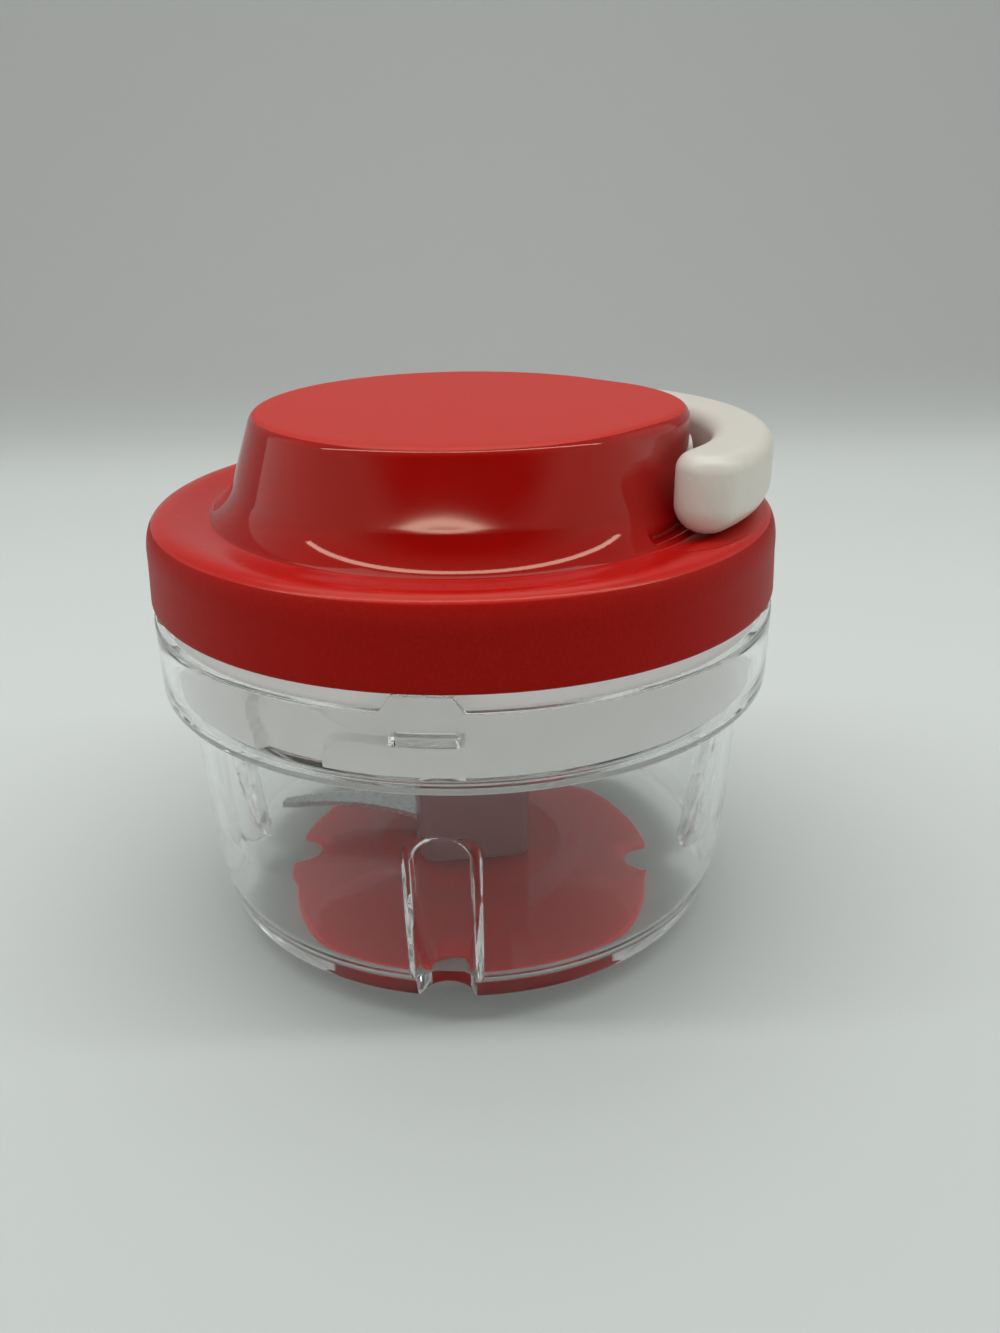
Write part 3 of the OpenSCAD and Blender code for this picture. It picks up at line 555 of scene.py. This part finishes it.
def squared(angle, sharpness):
    """How much further out the side of a round-cornered square lies than its inner circle."""
    c, s = abs(math.cos(angle)), abs(math.sin(angle))
    return (c ** sharpness + s ** sharpness) ** (-1 / sharpness)


for vert in column_bm.verts:
    angle = math.atan2(vert.co.y, vert.co.x) - FOOT_TURN
    stretch = 1.0
    if foot_from <= vert[row] < foot_to:
        stretch = squared(angle, FOOT_CORNER)
    elif foot_to <= vert[row] < foot_to + FOOT_FADE:
        stretch = 1 + (squared(angle, FOOT_CORNER) - 1) * (1 - (vert[row] - foot_to) / FOOT_FADE)
    elif vert[row] >= socket_from:
        stretch = squared(angle, SOCKET_CORNER)
    vert.co.x, vert.co.y = vert.co.x * stretch, vert.co.y * stretch
column = new_mesh_object("blade_column_grey", tidy(column_bm), 40)
# The tones are a dark red with a grey cast mixed in: the red is the plastic's own, the grey cast a painted
# reflection of the pale room.
column_red_painted_reflection = mottled(
    "grey_plastic", "ShaderNodeTexNoise", (0.20, 0.070, 0.067, 1), (0.25, 0.088, 0.083, 1), roughness=0.38,
    Scale=300.0, Detail=5.0)[0]
column.data.materials.append(column_red_painted_reflection)
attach(column, "rotor")
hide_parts("blade_column")

# Blades
# Three curved stainless blades stamped from strip, ground to an edge on their leading side and
# moulded into the column one above the other.
BLADE_ROOT = 8.6
BLADE_HALF = 7.5
TANG_IN = 7.8
GRIND = 2.6
blade_steel, node, link, shader = new_material("blade_steel")
shader.inputs["Metallic"].default_value = 1.0
where = node("ShaderNodeTexCoord")
stretch = node("ShaderNodeMapping", vector_type="POINT")
stretch.inputs["Scale"].default_value = (90, 90, 4000)
link(where.outputs["Object"], stretch.inputs["Vector"])
lines = node("ShaderNodeTexNoise", Scale=12.0, Detail=6.0)
link(stretch.outputs["Vector"], lines.inputs["Vector"])
tone = node("ShaderNodeValToRGB")
tone.color_ramp.elements[0].color = (0.50, 0.51, 0.52, 1)
tone.color_ramp.elements[1].color = (0.68, 0.69, 0.70, 1)
link(lines.outputs["Fac"], tone.inputs["Fac"])
link(tone.outputs["Color"], shader.inputs["Base Color"])
polish = node("ShaderNodeMapRange")
polish.inputs["To Min"].default_value = 0.18
polish.inputs["To Max"].default_value = 0.34
link(lines.outputs["Fac"], polish.inputs["Value"])
link(polish.outputs["Result"], shader.inputs["Roughness"])
for name, turn, tip in (("blade_lower", 165, 42.5), ("blade_middle", 45, 46.0), ("blade_upper", 285, 46.0)):
    low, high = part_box(name)
    half = BLADE_HALF
    leading = bend((BLADE_ROOT + 2, -half), (tip * 0.72, -half * 1.05), (tip * 0.97, half * 0.75), 18)
    trailing = bend((tip * 0.9, half * 0.9), (tip * 0.6, half * 0.2), (BLADE_ROOT + 2, half * 0.75), 14)
    outline = [(TANG_IN, -half * 0.6), (BLADE_ROOT, -half * 0.6)] + leading + [(tip * 0.97, half)]
    outline += trailing + [(BLADE_ROOT, half * 0.6), (TANG_IN, half * 0.6)]
    blade_bm = bmesh.new()
    ring = [blade_bm.verts.new((x * MM, y * MM, low.z)) for x, y in outline]
    bottom = blade_bm.faces.new(ring)
    raised = bmesh.ops.extrude_face_region(blade_bm, geom=[bottom])
    top_verts = [g for g in raised["geom"] if isinstance(g, bmesh.types.BMVert)]
    bmesh.ops.translate(blade_bm, vec=(0, 0, high.z - low.z), verts=top_verts)
    cutting = [Vector((x * MM, y * MM)) for x, y in leading]
    for vert in top_verts:
        flat = vert.co.xy
        nearest = min(range(len(cutting)), key=lambda i: (cutting[i] - flat).length)
        if (cutting[nearest] - flat).length < 1e-6:
            after = cutting[min(nearest + 1, len(cutting) - 1)]
            before = cutting[max(nearest - 1, 0)]
            along = (after - before).normalized()
            share = min(nearest / 3, (len(cutting) - 1 - nearest) / 5, 1)
            vert.co.x -= along.y * GRIND * MM * share
            vert.co.y += along.x * GRIND * MM * share
    bmesh.ops.recalc_face_normals(blade_bm, faces=blade_bm.faces)
    bmesh.ops.rotate(blade_bm, cent=(0, 0, 0), matrix=Matrix.Rotation(math.radians(turn), 3, "Z"),
                     verts=blade_bm.verts)
    blade = new_mesh_object(name + "_steel", blade_bm, 12)
    blade.data.materials.append(blade_steel)
    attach(blade, "rotor")
    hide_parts(name)

# Reel, spring and bearings
# The works inside the lid: a white reel with the cord and the strip spring, its steel axle and screws,
# turned brass bushes, and the square drive that hangs below the white plate.
reel_plastic = mottled(
    "reel_plastic", "ShaderNodeTexNoise", (0.66, 0.66, 0.64, 1), (0.76, 0.76, 0.74, 1), roughness=0.45,
    Scale=250.0, Detail=4.0)[0]
turned_brass = mottled(
    "turned_brass", "ShaderNodeTexWave", (0.55, 0.38, 0.14, 1), (0.72, 0.54, 0.24, 1), roughness=0.32,
    metallic=1.0, wave_type="RINGS", rings_direction="Z", Scale=900.0, Distortion=0.6)[0]
zinc_steel = mottled(
    "zinc_steel", "ShaderNodeTexVoronoi", (0.48, 0.49, 0.50, 1), (0.64, 0.65, 0.66, 1), roughness=0.36,
    metallic=1.0, output="Distance", Scale=1200.0)[0]
spring_steel = mottled(
    "spring_steel", "ShaderNodeTexNoise", (0.10, 0.12, 0.16, 1), (0.22, 0.24, 0.28, 1), roughness=0.3,
    metallic=1.0, Scale=500.0, Detail=3.0)[0]


def dress(names, material):
    """Gives CAD pieces a finish."""
    for name in names:
        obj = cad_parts[name]
        obj.data.materials.clear()
        obj.data.materials.append(material)


dress(("drum", "drive_plate", "drive_coupler"), reel_plastic)
dress(("spring_arbor", "drive_bush", "pivot_bush"), turned_brass)
dress(("axle", "axle_washer", "axle_screw", "drum_screws", "lid_screws"), zinc_steel)
dress(("mainspring",), spring_steel)

# White insert
# The inner part of the lid, moulded in white: a plate that closes the reel's room and a skirt with
# three bayonet slots, each a way in from below that curves into a level run. Its lip enters the bowl.
insert_low, insert_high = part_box("lid_insert")
INSERT_R = 56.5
SKIRT_IN = INSERT_R - 2.2
SLOT_DEEP = 1.7
SLOT_LOW = LUG_LOW - 0.2
SLOT_HIGH = LUG_TOP + 0.2
UNLOCK_TURN = 24.0
INSERT_LOW = LEDGE_TOP + 0.4
LIP_LOW = insert_low.z / MM
LIP_R = BODY_IN - 0.6
LIP_IN = LIP_R - 1.6
SHELF_Z = INSERT_LOW + 1.6
PLATE_TOP = insert_high.z / MM
PLATE_Z = PLATE_TOP - 2.2
PLATE_R = 56.9
PLATE_BORE = 10.05
insert_section = [(PLATE_BORE, PLATE_Z)]
insert_section += line(insert_section[-1], (SKIRT_IN - 1.5, PLATE_Z), 4)
insert_section += bend((SKIRT_IN - 1.5, PLATE_Z), (SKIRT_IN, PLATE_Z), (SKIRT_IN, PLATE_Z - 1.5), 4)[1:]
insert_section += line(insert_section[-1], (SKIRT_IN, SHELF_Z + 0.4), 4)
insert_section += bend((SKIRT_IN, SHELF_Z + 0.4), (SKIRT_IN, SHELF_Z), (SKIRT_IN - 0.4, SHELF_Z), 3)[1:]
insert_section += bend((LIP_IN + 0.4, SHELF_Z), (LIP_IN, SHELF_Z), (LIP_IN, SHELF_Z - 0.4), 3)
insert_section += arc(LIP_IN + 0.5, LIP_LOW + 0.5, 0.5, 180, 270, 3)
insert_section += arc(LIP_R - 0.5, LIP_LOW + 0.5, 0.5, -90, 0, 3)
insert_section += bend((LIP_R, INSERT_LOW - 0.3), (LIP_R, INSERT_LOW), (LIP_R + 0.3, INSERT_LOW), 3)
insert_section += arc(INSERT_R - 0.6, INSERT_LOW + 0.6, 0.6, -90, 0, 4)
skirt_from = len(insert_section) - 5
insert_section += line(insert_section[-1], (INSERT_R, SLOT_HIGH + 1.2), 34)
skirt_to = len(insert_section)
insert_section += line(insert_section[-1], (INSERT_R, PLATE_Z), 3)
insert_section += [(PLATE_R, PLATE_Z), (PLATE_R, PLATE_TOP), (PLATE_BORE, PLATE_TOP)]
insert_bm = turned(insert_section, [i * 0.6 for i in range(600)], closed=True)
row = insert_bm.verts.layers.int["row"]


def in_box(x, z, x0, x1, z0, z1, corner):
    """Distance to a round-cornered box, negative inside it."""
    dx = abs(x - (x0 + x1) / 2) - (x1 - x0) / 2 + corner
    dz = abs(z - (z0 + z1) / 2) - (z1 - z0) / 2 + corner
    return math.hypot(max(dx, 0), max(dz, 0)) + min(max(dx, dz), 0) - corner


def melt(a, b, width):
    """The nearer of two distances, with their corner rounded."""
    h = max(width - abs(a - b), 0) / width
    return min(a, b) - h * h * width / 4


for vert in insert_bm.verts:
    if skirt_from <= vert[row] < skirt_to:
        angle = math.degrees(math.atan2(vert.co.y, vert.co.x))
        off = min(((angle - turn + 180) % 360 - 180 for turn in lug_turns), key=abs)
        if off > 60:
            off -= 120
        around = math.radians(off) * INSERT_R
        z = vert.co.z / MM
        level_end = math.radians(LUG_HALF + 0.7) * INSERT_R
        way_from = math.radians(-UNLOCK_TURN - LUG_HALF - 1.0) * INSERT_R
        way_to = math.radians(-UNLOCK_TURN + LUG_HALF + 1.0) * INSERT_R
        run = in_box(around, z, way_from, level_end, SLOT_LOW, SLOT_HIGH, 0.8)
        way = in_box(around, z, way_from, way_to, INSERT_LOW - 9, SLOT_HIGH, 0.8)
        deep = SLOT_DEEP * ease(0.35 - melt(run, way, 6.0) / 0.7)
        shrink = 1 - deep / INSERT_R
        vert.co.x, vert.co.y = vert.co.x * shrink, vert.co.y * shrink
insert = new_mesh_object("lid_insert_white", tidy(insert_bm), 50)
white_plastic = mottled(
    "white_plastic", "ShaderNodeTexNoise", (0.88, 0.86, 0.84, 1), (0.94, 0.92, 0.90, 1), roughness=0.36,
    Scale=180.0, Detail=5.0)[0]
insert.data.materials.append(white_plastic)
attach(insert, "lid")
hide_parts("lid_insert")

# Red cover
# The lid's outer shell, moulded in red: a flat dome with a polished hollow side, a crowned shoulder and a
# fine-textured skirt; the side and skirt are given a darker red than the top as painted shade. On the right a
# boss carries the cord's eyelet and a shallow seat takes the handle.
cover_low, cover_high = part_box("lid_cover")
LID_Z = cover_low.z / MM
TOP_Z = cover_high.z / MM
LID_R = 59.5
SKIRT_DRAFT = 0.4
SKIRT_TOP = LID_Z + 8.0
CROWN_Z = SKIRT_TOP + 6.8
CREASE_R = LID_R - 12.1
CREASE_Z = CROWN_Z - 1.0
DOME_R = CREASE_R - 8.3
DOME_EDGE = 2.4
DOME_LEAN = 19.0
FLARE_R = 11.0
COVER_WALL = 2.2
LID_ROUND = 0.4
BOSS_R = DOME_R + 3.5
BOSS_PLAN_R = 30.0
BOSS_MELT = 1.2
BOSS_FROM = 26.0
CROWN_PULL = (6.2, -0.7)
EDGE_PULL = (0.25, 3.3)
CREASE_ROUND = 4.0
lean = math.radians(DOME_LEAN)
lean_out = Vector((math.cos(lean), math.sin(lean)))
lean_down = Vector((math.sin(lean), -math.cos(lean)))
side_top = Vector((DOME_R - DOME_EDGE, TOP_Z - DOME_EDGE)) + DOME_EDGE * lean_out
flare_way = Vector((CREASE_R, CREASE_Z)) - side_top - FLARE_R * lean_out
flare_along = flare_way.dot(lean_down)
side_length = flare_along - math.sqrt(flare_along ** 2 - flare_way.length_squared + FLARE_R ** 2)
flare_middle = side_top + side_length * lean_down + FLARE_R * lean_out
flare_end = math.degrees(math.atan2(flare_middle.y - CREASE_Z, flare_middle.x - CREASE_R))


def sweep(a, c, d, b, n):
    """Points of a curve from a to b, pulled towards c and then d."""
    shares = [i / n for i in range(n + 1)]
    return [tuple((1 - t) ** 3 * p + 3 * (1 - t) ** 2 * t * q + 3 * (1 - t) * t * t * r + t ** 3 * s
                  for p, q, r, s in zip(a, c, d, b)) for t in shares]


def cover_path(inset, fine):
    """The cover's outline from the middle of its top to its lower edge, set in from the outside."""
    crease = (CREASE_R, CREASE_Z - inset)
    skirt_r = LID_R - SKIRT_DRAFT - inset
    crown = sweep(crease, (CREASE_R + CROWN_PULL[0], CROWN_Z + CROWN_PULL[1] - inset),
                  (skirt_r + EDGE_PULL[0], CROWN_Z + EDGE_PULL[1] - inset), (skirt_r, SKIRT_TOP), 6 * fine)
    path = [(r, TOP_Z - inset) for r in (0, 8, 16, 23, 28, 31, 33, 34.5)]
    path += arc(DOME_R - DOME_EDGE, TOP_Z - DOME_EDGE, DOME_EDGE - inset, 90, DOME_LEAN, 2 * fine)
    flare = arc(flare_middle.x, flare_middle.y, FLARE_R + inset, 180 + DOME_LEAN,
                180 + flare_end - CREASE_ROUND, 3 * fine)
    path += line(path[-1], flare[0], 3 * fine) + flare[1:]
    path += bend(path[-1], crease, crown[1], fine)[1:] + crown[2:]
    path += line(path[-1], (LID_R - inset, LID_Z + LID_ROUND), 2 * fine)
    return path


cover_outer = cover_path(0, 5)
cover_section = cover_outer + arc(LID_R - LID_ROUND, LID_Z + LID_ROUND, LID_ROUND, 0, -90, 3)[1:]
cover_section += arc(LID_R - COVER_WALL + LID_ROUND, LID_Z + LID_ROUND, LID_ROUND, 270, 180, 3)
cover_section += cover_path(COVER_WALL, 2)[::-1][1:]
cover_bm = turned(cover_section, fine_turns([0], 62, 0.6, 1.5))
row = cover_bm.verts.layers.int["row"]
handle_low, handle_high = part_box("handle")
HANDLE_ARC_X = 10.6
HANDLE_ARC_R = 41.5
HANDLE_ARC_HALF = math.radians(43)
HANDLE_HALF = 5.6
SEAT_ARC_HALF = HANDLE_ARC_HALF + math.radians(7)
SEAT_AIR = 0.8
SEAT_Z = handle_low.z / MM - 0.3


def beyond_seat(x, y):
    """Distance in plan from the bent middle line of the handle's seat, in millimetres."""
    angle = math.atan2(y, x - HANDLE_ARC_X)
    angle = min(max(angle, -SEAT_ARC_HALF), SEAT_ARC_HALF)
    end = Vector((HANDLE_ARC_X + HANDLE_ARC_R * math.cos(angle), HANDLE_ARC_R * math.sin(angle)))
    return (Vector((x, y)) - end).length


def boss_edge(angle):
    """Radius of the cord boss's round plan at an angle."""
    off = BOSS_R - BOSS_PLAN_R
    return off * math.cos(angle) + math.sqrt(BOSS_PLAN_R ** 2 - (off * math.sin(angle)) ** 2)


for vert in cover_bm.verts:
    if vert[row] >= len(cover_outer):
        continue
    r = math.hypot(vert.co.x, vert.co.y) / MM
    z = vert.co.z / MM
    edge = boss_edge(math.atan2(vert.co.y, vert.co.x))
    if z > side_top.y:
        grown = r - melt(0, DOME_R - edge, BOSS_MELT) * ease((r - BOSS_FROM) / (side_top.x - BOSS_FROM))
    else:
        grown = -melt(-r, -edge, BOSS_MELT) if r < CREASE_R else r
    if r > 0:
        vert.co.x, vert.co.y = vert.co.x * grown / r, vert.co.y * grown / r
    away = beyond_seat(vert.co.x / MM, vert.co.y / MM)
    if z > SEAT_Z and r > BOSS_R + 2:
        sink = ease((HANDLE_HALF + SEAT_AIR + 0.5 - away) / 1.0)
        vert.co.z -= (z - SEAT_Z) * sink * MM
cover = new_mesh_object("lid_cover_red", tidy(cover_bm), 60)


def red_finish(name, dark, light, grain_scale, gloss, bump, sheen):
    """One of the cover's red finishes: mottled colour, and a roughness and fine relief of its own."""
    material, node, link, shader, grain = mottled(name, "ShaderNodeTexNoise", dark, light, spread=(0.3, 0.7),
                                                  Scale=grain_scale, Detail=4.0, Roughness=0.6)
    rough = node("ShaderNodeMapRange")
    rough.inputs["To Min"].default_value = gloss[0]
    rough.inputs["To Max"].default_value = gloss[1]
    link(grain.outputs["Fac"], rough.inputs["Value"])
    link(rough.outputs["Result"], shader.inputs["Roughness"])
    grained(node, link, shader, grain.outputs["Fac"], bump, 0.0001)
    shader.inputs["Specular IOR Level"].default_value = sheen
    shader.inputs["Specular Tint"].default_value = (1.0, 0.77, 0.58, 1)
    return material


red_top = red_finish("red_textured_top", (0.44, 0.008, 0.005, 1), (0.52, 0.011, 0.007, 1),
                     1500.0, (0.40, 0.55), 0.5, 0.5)
# Painted shade: the polished side and the skirt take a darker red than the top and shoulder, though the cover
# is one red plastic.
red_gloss_painted_shade = red_finish("red_polished_side", (0.28, 0.002, 0.0015, 1), (0.32, 0.003, 0.002, 1),
                       60.0, (0.04, 0.07), 0.02, 0.34)
red_satin = red_finish("red_satin_shoulder", (0.43, 0.004, 0.003, 1), (0.48, 0.005, 0.003, 1),
                       300.0, (0.20, 0.30), 0.05, 0.35)
red_skirt_painted_shade = red_finish("red_textured_skirt", (0.26, 0.003, 0.002, 1), (0.31, 0.005, 0.003, 1),
                       1800.0, (0.36, 0.52), 0.6, 0.10)
for finish in (red_top, red_gloss_painted_shade, red_satin, red_skirt_painted_shade):
    cover.data.materials.append(finish)
# Each face takes a finish by height and radius, and with the side's and skirt's finish their painted shade.
for polygon in cover.data.polygons:
    r = polygon.center.xy.length / MM
    z = polygon.center.z / MM
    if z > TOP_Z - 0.5:
        polygon.material_index = 0
    elif r < CREASE_R and z > CREASE_Z - 1:
        polygon.material_index = 1
    elif z > CROWN_Z - 1.0:
        polygon.material_index = 2
    else:
        polygon.material_index = 3
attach(cover, "lid")
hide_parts("lid_cover")

# Handle
# A crescent moulded in ivory plastic, round-ended and softly rounded below, that lies round the dome's
# right side and is pulled straight out. A plug underneath closes the chamber that holds the cord's knot.
HANDLE_LOW = handle_low.z / MM
HANDLE_TOP = handle_high.z / MM
LOW_ROUND = 5.2
TOP_ROUND = 3.0
half_section = arc(HANDLE_HALF - LOW_ROUND, HANDLE_LOW + LOW_ROUND, LOW_ROUND, -90, 0, 12)
half_section += arc(HANDLE_HALF - TOP_ROUND, HANDLE_TOP - TOP_ROUND, TOP_ROUND, 0, 90, 10)
whole_section = half_section + [(-r, z) for r, z in half_section[::-1]]
handle_bm = bmesh.new()
bend_axis = Vector((HANDLE_ARC_X * MM, 0, 0))


def spin_part(points, start, hub, angle, steps):
    """Spins section points, given from the middle line at a turn round the bend, about an upright axis."""
    outward = Vector((math.cos(start), math.sin(start), 0))
    verts = [handle_bm.verts.new(bend_axis + outward * (HANDLE_ARC_R + r) * MM + Vector((0, 0, z * MM)))
             for r, z in points]
    edges = [handle_bm.edges.new(pair) for pair in zip(verts, verts[1:])]
    bmesh.ops.spin(handle_bm, geom=verts + edges, cent=hub, axis=(0, 0, 1), dvec=(0, 0, 0), angle=angle,
                   steps=steps, use_merge=False, use_normal_flip=False, use_duplicate=False)


spin_part(whole_section + whole_section[:1], -HANDLE_ARC_HALF, bend_axis, 2 * HANDLE_ARC_HALF, 72)
for side in (-1, 1):
    start = side * HANDLE_ARC_HALF
    hub = bend_axis + Vector((math.cos(start), math.sin(start), 0)) * HANDLE_ARC_R * MM
    cap = [(0, half_section[0][1])] + half_section + [(0, half_section[-1][1])]
    spin_part(cap, start, hub, side * math.pi, 28)
bmesh.ops.remove_doubles(handle_bm, verts=handle_bm.verts, dist=2e-6)
bmesh.ops.recalc_face_normals(handle_bm, faces=handle_bm.faces)
handle = new_mesh_object("handle_ivory", handle_bm, 60)
ivory_plastic, node, link, shader, grain = mottled(
    "ivory_plastic", "ShaderNodeTexNoise", (0.58, 0.55, 0.48, 1), (0.64, 0.61, 0.54, 1), roughness=0.34,
    Scale=700.0, Detail=4.0)
grained(node, link, shader, grain.outputs["Fac"], 0.08, 0.0001)
handle.data.materials.append(ivory_plastic)
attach(handle, "pull_handle")
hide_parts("handle")
dress(("handle_plug",), ivory_plastic)
dress(("cord_eyelet",), white_plastic)

# Pull cord
# A braided nylon cord, two millimetres thick, that runs from the reel through the eyelet to a knot in the
# handle. Only the short length behind the handle shows, built here at one length; the real cord grows as
# the handle is pulled.
lead_low, lead_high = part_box("cord_lead")
CORD_R = 1.0
CORD_Z = (lead_low.z + lead_high.z) / 2
CORD_RINGS = 40
CORD_TUCK = 0.0005
cord_bm = bmesh.new()
bmesh.ops.create_circle(cord_bm, cap_ends=False, segments=20, radius=CORD_R * MM,
                        matrix=Matrix.Translation((lead_low.x - CORD_TUCK, 0, CORD_Z))
                        @ Matrix.Rotation(math.pi / 2, 4, "Y"))
ring = cord_bm.edges[:]
for step in range(CORD_RINGS):
    grown = bmesh.ops.extrude_edge_only(cord_bm, edges=ring)["geom"]
    bmesh.ops.translate(cord_bm, vec=((lead_high.x - lead_low.x + 2 * CORD_TUCK) / CORD_RINGS, 0, 0),
                        verts=[g for g in grown if isinstance(g, bmesh.types.BMVert)])
    ring = [g for g in grown if isinstance(g, bmesh.types.BMEdge)]
bmesh.ops.holes_fill(cord_bm, edges=cord_bm.edges, sides=24)
bmesh.ops.recalc_face_normals(cord_bm, faces=cord_bm.faces)
cord = new_mesh_object("pull_cord", cord_bm, 60)
material, node, link, shader = new_material("braided_cord")
where = node("ShaderNodeTexCoord")
slant = node("ShaderNodeMapping")
slant.inputs["Rotation"].default_value = (0, math.radians(40), math.radians(40))
link(where.outputs["Object"], slant.inputs["Vector"])
plait = node("ShaderNodeTexWave", Scale=420.0, Distortion=1.2)
link(slant.outputs["Vector"], plait.inputs["Vector"])
tone = node("ShaderNodeValToRGB")
tone.color_ramp.elements[0].color = (0.55, 0.52, 0.45, 1)
tone.color_ramp.elements[1].color = (0.80, 0.78, 0.71, 1)
link(plait.outputs["Fac"], tone.inputs["Fac"])
link(tone.outputs["Color"], shader.inputs["Base Color"])
shader.inputs["Roughness"].default_value = 0.8
grained(node, link, shader, plait.outputs["Fac"], 0.6, 0.0003)
cord.data.materials.append(material)
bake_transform(cord)
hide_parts("cord_lead")
dress(("cord_winding", "cord_run", "cord_knot"), material)
